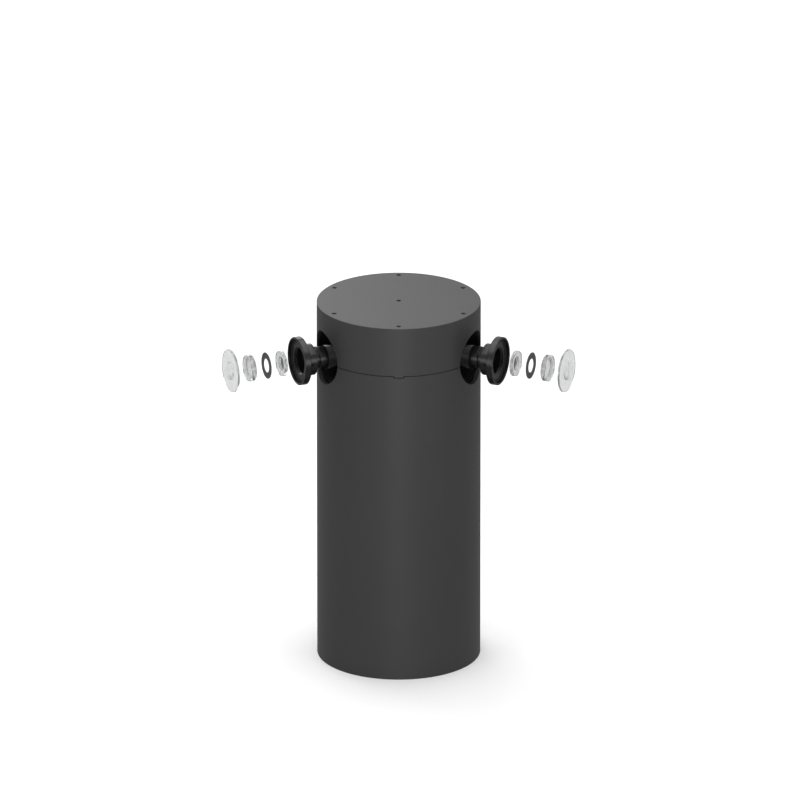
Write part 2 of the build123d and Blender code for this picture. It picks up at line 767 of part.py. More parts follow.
for side in port_angles:
    section = port_section[side]
    turning_axis = port_axis[side]
    outward = port_direction[side]
    level = Vector(0, 0, 1).cross(outward)
    if level.Y > 0:
        level = -level

    front = fitted_flange_front + barrel_travel
    floor = recess_floor + barrel_travel
    flange_rear = flange_back + barrel_travel
    neck_rear = neck_end + barrel_travel
    tail_rear = tail_end + barrel_travel
    shoulder = lens_shoulder_station + barrel_travel
    relief_floor = tail_radius - relief_depth
    tail_line = neck_rear - tail_line_distance
    with BuildPart() as barrel:
        with BuildSketch(section):
            with BuildLine():
                Polyline(
                    (tail_rear, tail_bore_radius),
                    (tail_rear, tail_radius - tail_line_depth),
                    (tail_rear + tail_line_depth, tail_radius),
                    (tail_line - tail_line_depth, tail_radius),
                    (tail_line, tail_radius - tail_line_depth),
                    (tail_line + tail_line_depth, tail_radius),
                    (neck_rear - relief_width - tail_line_depth, tail_radius),
                    (neck_rear - relief_width, tail_radius - tail_line_depth),
                    (neck_rear - relief_width, relief_floor),
                    (neck_rear, relief_floor),
                    (neck_rear, neck_radius - tail_line_depth),
                    (neck_rear + tail_line_depth, neck_radius),
                    (flange_rear, neck_radius),
                    (flange_rear, flange_radius - flange_edge_chamfer),
                    (flange_rear + flange_edge_chamfer, flange_radius),
                    (front - flange_edge_chamfer, flange_radius),
                    (front, flange_radius - flange_edge_chamfer),
                    (front, recess_radius),
                    (floor, recess_radius),
                    (floor, lens_bore_radius),
                    (shoulder, lens_bore_radius),
                    (shoulder, tail_bore_radius),
                    close=True,
                )
            make_face()
        revolve(axis=turning_axis)
        screw_station = Vector(0, 0, port_height) + outward * (flange_rear - set_screw_distance)
        with BuildSketch(Plane(origin=screw_station, x_dir=outward, z_dir=level)):
            Circle(set_screw_radius + thread_clearance)
        extrude(amount=neck_radius + 1, mode=Mode.SUBTRACT)
    barrel.part.label = "barrel_" + side
    export_step(barrel.part, "parts/barrel_" + side + ".step")

    screw_outer = screw_station + level * (neck_radius - set_screw_sink)
    with BuildPart() as set_screw:
        with BuildSketch(Plane(origin=screw_outer, x_dir=outward, z_dir=level)):
            Circle(set_screw_radius)
        extrude(amount=-set_screw_length)
        with BuildSketch(Plane(origin=screw_outer, x_dir=outward, z_dir=level)):
            RegularPolygon(set_screw_socket_width / 2, 6, major_radius=False)
        extrude(amount=-set_screw_length / 2, mode=Mode.SUBTRACT)
    set_screw.part.label = "set_screw_" + side
    export_step(set_screw.part, "parts/set_screw_" + side + ".step")

    with BuildPart() as barrel_seal:
        with BuildSketch(section):
            seal_centre = (neck_rear - thread_clearance - seal_radius, relief_floor + thread_clearance + seal_radius)
            with Locations(seal_centre):
                Circle(seal_radius)
        revolve(axis=turning_axis)
    barrel_seal.part.label = "barrel_seal_" + side
    export_step(barrel_seal.part, "parts/barrel_seal_" + side + ".step")

    with BuildPart() as glass_gasket:
        with BuildSketch(port_face(side, floor)):
            Circle(recess_radius - thread_clearance)
            Circle(recess_radius - glass_gasket_width, mode=Mode.SUBTRACT)
        extrude(amount=glass_gasket_thickness)
    glass_gasket.part.label = "glass_gasket_" + side
    export_step(glass_gasket.part, "parts/glass_gasket_" + side + ".step")

    back = inner_lens_back + inner_lens_travel
    face = back + inner_lens_thickness
    cup_apex = back + inner_lens_cup_depth
    dimple_apex = face - inner_lens_dimple_depth
    with BuildPart() as inner_lens:
        with BuildSketch(section):
            with BuildLine():
                Line((cup_apex, 0), (dimple_apex, 0))
                dimple_middle = arc_middle(face, inner_lens_dimple_radius, dimple_apex)
                ThreePointArc((dimple_apex, 0), dimple_middle, (face, inner_lens_dimple_radius))
                Polyline(
                    (face, inner_lens_dimple_radius),
                    (face, inner_lens_radius - lens_edge_chamfer),
                    (face - lens_edge_chamfer, inner_lens_radius),
                    (back + lens_edge_chamfer, inner_lens_radius),
                    (back, inner_lens_radius - lens_edge_chamfer),
                    (back, inner_lens_cup_radius),
                )
                cup_middle = arc_middle(back, inner_lens_cup_radius, cup_apex)
                ThreePointArc((back, inner_lens_cup_radius), cup_middle, (cup_apex, 0))
            make_face()
        revolve(axis=turning_axis)
    inner_lens.part.label = "inner_lens_" + side
    export_step(inner_lens.part, "parts/inner_lens_" + side + ".step")

    with BuildPart() as spacer_ring:
        with BuildSketch(port_face(side, spacer_back + spacer_travel)):
            Circle(spacer_radius)
            Circle(spacer_bore_radius, mode=Mode.SUBTRACT)
        extrude(amount=spacer_thickness)
    spacer_ring.part.label = "spacer_ring_" + side
    export_step(spacer_ring.part, "parts/spacer_ring_" + side + ".step")

    back = outer_lens_back + outer_lens_travel
    face = back + outer_lens_thickness
    cup_apex = back + outer_lens_cup_depth
    crown_edge = face - outer_lens_crown
    with BuildPart() as outer_lens:
        with BuildSketch(section):
            with BuildLine():
                Line((cup_apex, 0), (face, 0))
                crown_middle = arc_middle(crown_edge, outer_lens_radius - lens_edge_chamfer, face)
                ThreePointArc((face, 0), crown_middle, (crown_edge, outer_lens_radius - lens_edge_chamfer))
                Polyline(
                    (crown_edge, outer_lens_radius - lens_edge_chamfer),
                    (crown_edge - lens_edge_chamfer, outer_lens_radius),
                    (back + lens_edge_chamfer, outer_lens_radius),
                    (back, outer_lens_radius - lens_edge_chamfer),
                    (back, outer_lens_cup_radius),
                )
                cup_middle = arc_middle(back, outer_lens_cup_radius, cup_apex)
                ThreePointArc((back, outer_lens_cup_radius), cup_middle, (cup_apex, 0))
            make_face()
        revolve(axis=turning_axis)
    outer_lens.part.label = "outer_lens_" + side
    export_step(outer_lens.part, "parts/outer_lens_" + side + ".step")

    back = glass_back + glass_travel
    face = back + glass_thickness
    with BuildPart() as cover_glass:
        with BuildSketch(section):
            with BuildLine():
                Polyline(
                    (face + dome_height, 0),
                    (back, 0),
                    (back, glass_radius - lens_edge_chamfer),
                    (back + lens_edge_chamfer, glass_radius),
                    (face - lens_edge_chamfer, glass_radius),
                    (face, glass_radius - lens_edge_chamfer),
                    (face, dome_radius),
                )
                dome_middle = arc_middle(face, dome_radius, face + dome_height)
                ThreePointArc((face, dome_radius), dome_middle, (face + dome_height, 0))
            make_face()
        revolve(axis=turning_axis)
    cover_glass.part.label = "cover_glass_" + side
    export_step(cover_glass.part, "parts/cover_glass_" + side + ".step")
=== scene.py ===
"""Dresses the bollard post: painted tube and cap, turned lens barrels, clear optics and the gear inside.

Every piece is modelled in metres, in the frame of the CAD model, and rides on one of its bodies.
"""

import json
import logging
import math
from collections.abc import Callable
from dataclasses import dataclass, field
from enum import Enum

import bmesh
import bpy
from mathutils import Matrix, Vector


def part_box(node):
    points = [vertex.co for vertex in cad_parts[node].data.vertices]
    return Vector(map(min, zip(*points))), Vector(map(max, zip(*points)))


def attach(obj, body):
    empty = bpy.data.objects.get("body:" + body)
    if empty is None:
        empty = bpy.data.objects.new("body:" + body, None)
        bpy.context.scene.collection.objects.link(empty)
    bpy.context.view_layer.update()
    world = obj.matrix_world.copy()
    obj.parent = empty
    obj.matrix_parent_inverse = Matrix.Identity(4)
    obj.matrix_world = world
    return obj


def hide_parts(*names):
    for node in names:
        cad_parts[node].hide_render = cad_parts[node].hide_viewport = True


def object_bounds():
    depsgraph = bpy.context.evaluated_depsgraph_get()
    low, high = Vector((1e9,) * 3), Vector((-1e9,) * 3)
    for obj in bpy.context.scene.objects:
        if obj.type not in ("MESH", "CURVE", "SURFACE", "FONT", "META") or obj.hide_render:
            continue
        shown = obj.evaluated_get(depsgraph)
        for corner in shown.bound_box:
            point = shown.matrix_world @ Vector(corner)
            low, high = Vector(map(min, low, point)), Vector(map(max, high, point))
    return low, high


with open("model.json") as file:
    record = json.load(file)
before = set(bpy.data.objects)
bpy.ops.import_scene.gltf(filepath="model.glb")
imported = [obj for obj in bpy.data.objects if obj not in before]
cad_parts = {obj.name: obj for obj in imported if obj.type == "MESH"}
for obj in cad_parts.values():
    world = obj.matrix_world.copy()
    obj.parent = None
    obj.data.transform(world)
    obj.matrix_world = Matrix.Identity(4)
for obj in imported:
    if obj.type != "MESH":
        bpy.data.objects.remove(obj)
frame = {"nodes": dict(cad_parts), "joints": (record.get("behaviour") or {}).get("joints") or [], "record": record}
cad_low, cad_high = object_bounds()

MM = 0.001
MERGE_DISTANCE = 1e-7
UPRIGHT = 0.9
HEX_CORNER = 1 / math.cos(math.pi / 6)

log = logging.getLogger("bollard")

Object = bpy.types.Object
Material = bpy.types.Material
MeshPart = bmesh.types.BMFace | bmesh.types.BMEdge
Pair = tuple[float, float]
Triple = tuple[float, float, float]
Colour = Triple
Socket = bpy.types.NodeSocket


# ------------------------------------------------------------------------------------------ workbench
class Cut(Enum):
    """What a boolean modifier does with its tool."""

    AWAY = "DIFFERENCE"
    JOIN = "UNION"
    KEEP = "INTERSECT"


def let_go() -> None:
    """Leaves edit mode and deselects every object."""
    if bpy.context.object and bpy.context.object.mode != "OBJECT":
        bpy.ops.object.mode_set(mode="OBJECT")
    bpy.ops.object.select_all(action="DESELECT")


def take(*pieces: Object) -> None:
    """Selects pieces, the first of them active.

    Args:
        pieces: the objects to select.
    """
    let_go()
    for piece in pieces:
        piece.select_set(True)
    bpy.context.view_layer.objects.active = pieces[0]


def named(name: str) -> Object:
    """Names the active object and its mesh.

    Args:
        name: the piece's name.

    Returns:
        The active object.
    """
    piece = bpy.context.object
    piece.name = name
    piece.data.name = name
    return piece


def cylinder(name: str, radius: float, low: float, high: float, steps: int, at: Pair = (0.0, 0.0)) -> Object:
    """Adds a closed upright cylinder between two heights.

    Args:
        name: the piece's name.
        radius: its radius.
        low: height of its lower end.
        high: height of its upper end.
        steps: how many sides it has.
        at: where its axis stands.

    Returns:
        The cylinder.
    """
    let_go()
    bpy.ops.mesh.primitive_cylinder_add(
        vertices=steps, radius=radius, depth=high - low, location=(at[0], at[1], (low + high) / 2)
    )
    return named(name)


def block(name: str, low: Vector, high: Vector) -> Object:
    """Adds a box between two corners.

    Args:
        name: the piece's name.
        low: its lowest corner.
        high: its highest corner.

    Returns:
        The box.
    """
    let_go()
    middle = (low + high) / 2
    bpy.ops.mesh.primitive_cube_add(size=1, location=middle)
    piece = named(name)
    piece.scale = high - low
    bpy.ops.object.transform_apply(location=False, rotation=False, scale=True)
    return piece


def pick(piece: Object, kind: str, wanted: Callable[[MeshPart], bool]) -> None:
    """Opens a piece in edit mode with only some faces or edges selected.

    Args:
        piece: the object to edit.
        kind: FACE or EDGE.
        wanted: a test of a face or edge, true for those to select.
    """
    take(piece)
    bpy.ops.object.mode_set(mode="EDIT")
    bpy.ops.mesh.select_mode(type=kind)
    bpy.ops.mesh.select_all(action="DESELECT")
    mesh = bmesh.from_edit_mesh(piece.data)
    for part in mesh.faces if kind == "FACE" else mesh.edges:
        if wanted(part):
            part.select_set(True)
    bmesh.update_edit_mesh(piece.data)


def push(value: Triple) -> None:
    """Extrudes what is selected and moves it."""
    bpy.ops.mesh.extrude_region_move(TRANSFORM_OT_translate={"value": value})


def combine(piece: Object, tools: list[Object], how: Cut) -> None:
    """Cuts a piece with tools, or joins them to it, and removes the tools.

    Args:
        piece: the object that stays.
        tools: the objects to cut or join with.
        how: what is done with them.
    """
    for tool in tools:
        take(piece)
        modifier = piece.modifiers.new(how.name.lower(), "BOOLEAN")
        modifier.operation = how.value
        modifier.solver = "EXACT"
        modifier.object = tool
        bpy.ops.object.modifier_apply(modifier=modifier.name)
        bpy.data.objects.remove(tool)


def soften(piece: Object, width: float, segments: int = 2, angle: float = 35.0) -> None:
    """Rounds the sharp edges of a piece.

    Args:
        piece: the object to round.
        width: how far back each edge is taken.
        segments: how many facets the round has.
        angle: edges sharper than this many degrees are rounded.
    """
    take(piece)
    modifier = piece.modifiers.new("soften", "BEVEL")
    modifier.width = width
    modifier.segments = segments
    modifier.limit_method = "ANGLE"
    modifier.angle_limit = math.radians(angle)
    modifier.harden_normals = False
    modifier.use_clamp_overlap = True
    bpy.ops.object.modifier_apply(modifier=modifier.name)


def seat(piece: Object, place: Matrix) -> None:
    """Puts a piece in its place and takes the place into its mesh.

    Args:
        piece: the object to place.
        place: the matrix that places it.
    """
    take(piece)
    piece.matrix_world = place @ piece.matrix_world
    bpy.ops.object.transform_apply(location=True, rotation=True, scale=True)


def close_up(piece: Object, smooth_angle: float = 30.0) -> None:
    """Merges doubles, turns faces outwards, takes the place into the mesh and smooths the rounds.

    The smoothed normals are weighed by face area, so wide flat faces stay evenly shaded.

    Args:
        piece: the object to finish.
        smooth_angle: edges sharper than this many degrees stay sharp.
    """
    take(piece)
    bpy.ops.mesh.customdata_custom_splitnormals_clear()
    bpy.ops.object.mode_set(mode="EDIT")
    bpy.ops.mesh.select_all(action="SELECT")
    bpy.ops.mesh.remove_doubles(threshold=MERGE_DISTANCE)
    bpy.ops.mesh.normals_make_consistent(inside=False)
    bpy.ops.object.mode_set(mode="OBJECT")
    bpy.ops.object.transform_apply(location=True, rotation=True, scale=True)
    bpy.ops.object.shade_smooth_by_angle(angle=math.radians(smooth_angle))
    modifier = piece.modifiers.new("even_normals", "WEIGHTED_NORMAL")
    modifier.mode = "FACE_AREA"
    modifier.keep_sharp = True
    bpy.ops.object.modifier_apply(modifier=modifier.name)


def join(name: str, pieces: list[Object]) -> Object:
    """Joins pieces into one object.

    Args:
        name: the joined piece's name.
        pieces: the objects to join.

    Returns:
        The joined object.
    """
    take(*pieces)
    bpy.ops.object.join()
    return named(name)


def copy_at(piece: Object, place: Matrix) -> Object:
    """Copies a piece with its own mesh and puts the copy in a place.

    Args:
        piece: the object to copy.
        place: the matrix that places the copy.

    Returns:
        The copy.
    """
    take(piece)
    bpy.ops.object.duplicate(linked=False)
    copy = bpy.context.object
    seat(copy, place)
    return copy


def discard(piece: Object) -> None:
    """Removes a piece that was only a pattern for copies."""
    bpy.data.objects.remove(piece)


@dataclass
class Section:
    """Half of a turned piece's section, as radius and station along its axis, in millimetres."""

    points: list[Pair]
    closed: bool = True

    def to(self, radius: float, station: float) -> "Section":
        """Runs the outline straight to a point."""
        self.points.append((radius, station))
        return self

    def arc(self, radius: float, station: float, bulge: float, steps: int = 8) -> "Section":
        """Runs the outline along a round arc to a point.

        Args:
            radius: the end point's radius.
            station: the end point's station.
            bulge: the arc's rise over its chord, positive to the right of the way it runs.
            steps: how many chords stand for it.

        Returns:
            This section.
        """
        start = Vector(self.points[-1])
        end = Vector((radius, station))
        chord = end - start
        half = chord.length / 2
        aside = Vector((chord.y, -chord.x)).normalized()
        arc_radius = (half * half + bulge * bulge) / (2 * abs(bulge))
        lift = math.copysign(arc_radius - abs(bulge), bulge)
        centre = (start + end) / 2 - aside * lift
        sweep = 2 * math.asin(min(1.0, half / arc_radius))
        turn = math.copysign(sweep / steps, bulge)
        spoke = start - centre
        for step in range(1, steps):
            spoke_now = Matrix.Rotation(turn * step, 2) @ spoke
            self.points.append(tuple(centre + spoke_now))
        self.points.append((radius, station))
        return self

    def ridges(self, station: float, pitch: float, depth: float) -> "Section":
        """Runs a row of thread-like ridges along the axis from the last point to a station.

        Args:
            station: where the ridges end.
            pitch: distance from crest to crest.
            depth: how far each valley lies towards the axis, or away from it where negative.

        Returns:
            This section.
        """
        radius, start = self.points[-1]
        count = max(1, int(abs(station - start) / pitch))
        step = (station - start) / count
        for index in range(count):
            self.points.append((radius - depth, start + step * (index + 0.5)))
            self.points.append((radius, start + step * (index + 1)))
        return self


def turn_piece(name: str, section: Section, steps: int = 96, smooth_angle: float = 30.0) -> Object:
    """Draws a section by extruding one vertex round it, and spins it about local Z.

    Args:
        name: the piece's name.
        section: the half section, in millimetres.
        steps: how many sides the round has.
        smooth_angle: edges sharper than this many degrees stay sharp.

    Returns:
        The turned piece, its axis on local Z and its stations along it.
    """
    let_go()
    first = section.points[0]
    bpy.ops.mesh.primitive_plane_add(size=MM, location=(first[0] * MM, 0, first[1] * MM))
    piece = named(name)
    bpy.ops.object.mode_set(mode="EDIT")
    bpy.ops.mesh.select_mode(type="VERT")
    bpy.ops.mesh.select_all(action="SELECT")
    bpy.ops.mesh.merge(type="CENTER")
    for here, there in zip(section.points, section.points[1:]):
        push(((there[0] - here[0]) * MM, 0, (there[1] - here[1]) * MM))
    if section.closed:
        mesh = bmesh.from_edit_mesh(piece.data)
        ends = [vertex for vertex in mesh.verts if len(vertex.link_edges) == 1]
        bpy.ops.mesh.select_all(action="DESELECT")
        for vertex in ends:
            vertex.select_set(True)
        bmesh.update_edit_mesh(piece.data)
        bpy.ops.mesh.edge_face_add()
    bpy.ops.mesh.select_all(action="SELECT")
    bpy.ops.mesh.spin(steps=steps, angle=math.tau, center=(0, 0, 0), axis=(0, 0, 1))
    close_up(piece, smooth_angle)
    return piece


# ------------------------------------------------------------------------------------------ finishes
class Grain(Enum):
    """Which pattern roughens a finish."""

    FINE = "noise"
    CELLS = "cells"
    LINES = "lines"


class Graph:
    """A material's node tree, with short calls to add and link its nodes."""

    def __init__(self, name: str) -> None:
        """Starts a material with one shader.

        Args:
            name: the material's name.
        """
        self.material = bpy.data.materials.new(name)
        self.material.use_nodes = True
        self.tree = self.material.node_tree
        self.shader = self.tree.nodes["Principled BSDF"]
        self.place = self.add("ShaderNodeTexCoord").outputs["Object"]

    def add(self, kind: str, **inputs: object) -> bpy.types.Node:
        """Adds a node.

        Args:
            kind: the node's type.
            inputs: values of its inputs, or sockets to link to them, by name with _ for a space.

        Returns:
            The node.
        """
        node = self.tree.nodes.new(kind)
        for key, value in inputs.items():
            socket = node.inputs[key.replace("_", " ")]
            if isinstance(value, Socket):
                self.tree.links.new(value, socket)
            else:
                socket.default_value = value
        return node

    def mapped(self, scale: Triple) -> Socket:
        """Scales the object's coordinates along each axis.

        Args:
            scale: how much finer the pattern gets along X, Y and Z.

        Returns:
            The scaled coordinates.
        """
        mapping = self.add("ShaderNodeMapping", Vector=self.place)
        mapping.vector_type = "TEXTURE"
        mapping.inputs["Scale"].default_value = tuple(1 / value for value in scale)
        return mapping.outputs["Vector"]

    def noise(self, where: Socket, scale: float, detail: float = 3.0) -> Socket:
        """Returns a noise pattern between 0 and 1."""
        return self.add("ShaderNodeTexNoise", Vector=where, Scale=scale, Detail=detail).outputs["Fac"]

    def cells(self, where: Socket, scale: float) -> Socket:
        """Returns a pattern of cells, each of one random value."""
        voronoi = self.add("ShaderNodeTexVoronoi", Vector=where, Scale=scale)
        return self.add("ShaderNodeSeparateColor", Color=voronoi.outputs["Color"]).outputs["Red"]

    def between(self, factor: Socket, low: float, high: float) -> Socket:
        """Returns a value that runs from low to high with a factor."""
        return self.add("ShaderNodeMapRange", Value=factor, To_Min=low, To_Max=high).outputs["Result"]

    def tint(self, factor: Socket, low: Colour, high: Colour) -> None:
        """Colours the shader between two colours.

        Args:
            factor: how far along, from 0 to 1.
            low: the colour at 0.
            high: the colour at 1.
        """
        mix = self.tree.nodes.new("ShaderNodeMix")
        mix.data_type = "RGBA"
        sockets = [socket for socket in mix.inputs if socket.type == "RGBA"]
        sockets[0].default_value = (*low, 1)
        sockets[1].default_value = (*high, 1)
        self.tree.links.new(factor, mix.inputs["Factor"])
        result = next(socket for socket in mix.outputs if socket.type == "RGBA")
        self.tree.links.new(result, self.shader.inputs["Base Color"])

    def roughen(self, factor: Socket, low: float, high: float) -> None:
        """Varies the shader's roughness between two values."""
        self.tree.links.new(self.between(factor, low, high), self.shader.inputs["Roughness"])

    def bump(self, height: Socket, depth: float) -> None:
        """Raises the surface by a pattern.

        Args:
            height: the pattern.
            depth: how far its full height stands up, in metres.
        """
        node = self.add("ShaderNodeBump", Height=height, Distance=depth, Strength=1.0)
        if self.shader.inputs["Normal"].is_linked:
            before = self.shader.inputs["Normal"].links[0].from_socket
            self.tree.links.new(before, node.inputs["Normal"])
        self.tree.links.new(node.outputs["Normal"], self.shader.inputs["Normal"])


@dataclass(frozen=True)
class Finish:
    """A surface with one colour range, one roughness range and one grain."""

    name: str
    dark: Colour
    light: Colour
    smoothest: float
    roughest: float
    grain: Grain = Grain.FINE
    patch_scale: float = 18.0
    grain_scale: float = 900.0
    grain_depth: float = 0.00004
    metallic: float = 0.0
    specular: float = 0.5
    coat: float = 0.0
    line_stretch: Triple = (1.0, 1.0, 1.0)

    def build(self) -> Material:
        """Makes the material.

        Returns:
            The material, on Object coordinates.
        """
        graph = Graph(self.name)
        patches = graph.noise(graph.place, self.patch_scale)
        if self.grain is Grain.CELLS:
            fine = graph.cells(graph.place, self.grain_scale)
        elif self.grain is Grain.LINES:
            fine = graph.noise(graph.mapped(self.line_stretch), self.grain_scale, 2.0)
        else:
            fine = graph.noise(graph.place, self.grain_scale, 2.0)
        graph.tint(fine if self.grain is Grain.CELLS else patches, self.dark, self.light)
        graph.roughen(patches, self.smoothest, self.roughest)
        graph.bump(fine, self.grain_depth)
        graph.shader.inputs["Metallic"].default_value = self.metallic
        graph.shader.inputs["Specular IOR Level"].default_value = self.specular
        graph.shader.inputs["Coat Weight"].default_value = self.coat
        return graph.material


@dataclass(frozen=True)
class PowderCoat:
    """Matte powder coat: a fine orange peel over a dark grey, a little uneven in gloss."""

    name: str
    dark: Colour
    light: Colour
    smoothest: float
    roughest: float
    specular: float
    peel_scale: float
    peel_depth: float
    speck_scale: float
    speck_depth: float
    cloud_scale: float = 9.0

    def build(self) -> Material:
        """Makes the material.

        Returns:
            The material, on Object coordinates.
        """
        graph = Graph(self.name)
        cloud = graph.noise(graph.place, self.cloud_scale, 4.0)
        peel = graph.noise(graph.place, self.peel_scale, 2.0)
        speck = graph.noise(graph.place, self.speck_scale, 1.0)
        graph.tint(cloud, self.dark, self.light)
        graph.roughen(peel, self.smoothest, self.roughest)
        graph.bump(peel, self.peel_depth)
        graph.bump(speck, self.speck_depth)
        graph.shader.inputs["Specular IOR Level"].default_value = self.specular
        return graph.material


@dataclass(frozen=True)
class ClearOptic:
    """Polished clear optic that takes a little light out of what passes through."""

    name: str
    colour: Colour
    index: float
    roughness: float
    haze_scale: float
    clearness: float = 0.86
    haze_lift: float = 1.02

    def build(self) -> Material:
        """Makes the material.

        Returns:
            The material, on Object coordinates.
        """
        graph = Graph(self.name)
        haze = graph.noise(graph.place, self.haze_scale)
        lighter = tuple(min(1.0, value * self.haze_lift) for value in self.colour)
        graph.tint(haze, self.colour, lighter)
        graph.shader.inputs["Roughness"].default_value = self.roughness
        graph.shader.inputs["Transmission Weight"].default_value = self.clearness
        graph.shader.inputs["IOR"].default_value = self.index
        return graph.material


class Palette:
    """Every finish of the post, each built once and found by the name of its slot."""

    def __init__(self) -> None:
        """Lists the finishes, by the record's slot names."""
        self.finishes = {
            "post_paint": PowderCoat(
                "post_paint", (0.024, 0.024, 0.024), (0.028, 0.028, 0.028), 0.42, 0.50, 0.5,
                peel_scale=420.0, peel_depth=0.00003, speck_scale=1700.0, speck_depth=0.00001,
            ),
            "black_anodised": Finish(
                "black_anodised", (0.0030, 0.0030, 0.0031), (0.0045, 0.0045, 0.0047), 0.22, 0.30, grain_depth=0.000006
            ),
            "port_black": Finish(
                "port_black", (0.0025, 0.0025, 0.0025), (0.004, 0.004, 0.004), 0.7, 0.85, specular=0.15
            ),
            "spacer_grey": Finish("spacer_grey", (0.05, 0.05, 0.051), (0.06, 0.06, 0.061), 0.45, 0.6),
            "black_screws": Finish(
                "black_screws", (0.006, 0.006, 0.006), (0.010, 0.010, 0.010), 0.45, 0.6, specular=0.3
            ),
            "steel_fasteners": Finish(
                "steel_fasteners", (0.50, 0.50, 0.49), (0.60, 0.60, 0.59), 0.22, 0.36, metallic=1.0, grain_depth=0.00001
            ),
            "galvanised_steel": Finish(
                "galvanised_steel", (0.36, 0.37, 0.38), (0.55, 0.56, 0.57), 0.42, 0.60,
                grain=Grain.CELLS, grain_scale=120.0, metallic=0.9, grain_depth=0.00002,
            ),
            "plate_aluminium": Finish(
                "plate_aluminium", (0.26, 0.26, 0.265), (0.34, 0.34, 0.345), 0.38, 0.5,
                grain=Grain.LINES, grain_scale=260.0, line_stretch=(1.0, 22.0, 1.0), metallic=1.0, grain_depth=0.000015,
            ),
            "seal_rubber": Finish(
                "seal_rubber", (0.008, 0.008, 0.008), (0.014, 0.014, 0.014), 0.6, 0.8, specular=0.3
            ),
            "board_white": Finish(
                "board_white", (0.70, 0.70, 0.68), (0.78, 0.78, 0.76), 0.25, 0.35, grain_depth=0.00001
            ),
            "emitter_yellow": Finish("emitter_yellow", (0.80, 0.58, 0.10), (0.88, 0.68, 0.16), 0.12, 0.2, coat=0.6),
            "driver_case": Finish("driver_case", (0.30, 0.31, 0.32), (0.36, 0.37, 0.38), 0.45, 0.6),
            "terminal_plastic": Finish("terminal_plastic", (0.62, 0.62, 0.58), (0.68, 0.68, 0.64), 0.4, 0.55),
            "gland_plastic": Finish("gland_plastic", (0.012, 0.012, 0.012), (0.02, 0.02, 0.02), 0.4, 0.55),
            "clear_lens": ClearOptic("clear_lens", (0.58, 0.585, 0.585), 1.42, 0.04, 60.0),
            "clear_cover": ClearOptic("clear_cover", (0.67, 0.675, 0.675), 1.34, 0.04, 40.0),
        }
        self.built: dict[str, Material] = {}

    def material(self, slot: str) -> Material:
        """Returns a slot's material, built when first asked for.

        Args:
            slot: the record's slot name.

        Returns:
            The material.
        """
        if slot not in self.built:
            self.built[slot] = self.finishes[slot].build()
        return self.built[slot]

    def dress(self, piece: Object, slot: str) -> None:
        """Gives a new piece its only material and its slot.

        Args:
            piece: the piece to dress.
            slot: the record's slot name.
        """
        piece.data.materials.clear()
        piece.data.materials.append(self.material(slot))

    def dress_frame(self) -> None:
        """Gives every carried-over node the finish of its slot."""
        slots = {entry["node"]: entry["material_slot"] for entry in frame["record"]["subparts"]}
        for name, node in frame["nodes"].items():
            for index in range(len(node.material_slots)):
                node.material_slots[index].material = self.material(slots[name])


def mount(piece: Object, body: str, slot: str, palette: Palette, *nodes: str) -> None:
    """Rides a finished piece on its body, dresses it and lets it stand for its nodes.

    Args:
        piece: the finished piece.
        body: the body it rides on.
        slot: the record's slot of its finish.
        palette: the finishes.
        nodes: the CAD nodes that it replaces.
    """
    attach(piece, body)
    palette.dress(piece, slot)
    if nodes:
        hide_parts(*nodes)
    log.info("%s rides on %s, %d faces", piece.name, body, len(piece.data.polygons))


# ------------------------------------------------------------------------------------------ places
@dataclass(frozen=True)
class Span:
    """Where a turned node lies along its axis, in metres."""

    back: float
    front: float
    radius: float


class PortAxis:
    """One side's port axis, read from the CAD model."""

    def __init__(self, side: str) -> None:
        """Reads the axis from the barrel's joint and node.

        Args:
            side: left or right.
        """
        self.side = side
        joint = next(joint for joint in frame["joints"] if joint["name"] == "barrel_" + side + "_slide")
        self.outward = -Vector(joint["axis"]).normalized()
        low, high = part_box("barrel_" + side)
        self.height = (low[2] + high[2]) / 2
        up = Vector((0, 0, 1))
        across = up.cross(self.outward)
        self.frontward = 1.0 if across.y < 0 else -1.0
        turn = Matrix((across, up, self.outward)).transposed().to_4x4()
        self.place = Matrix.Translation((0, 0, self.height)) @ turn

    def span(self, node: str) -> Span:
        """Measures a node along the axis.

        Args:
            node: the node's name.

        Returns:
            Its back and front stations and its largest radius.
        """
        to_local = self.place.inverted()
        points = [to_local @ vertex.co for vertex in frame["nodes"][node].data.vertices]
        stations = [point.z for point in points]
        return Span(min(stations), max(stations), max(math.hypot(point.x, point.y) for point in points))


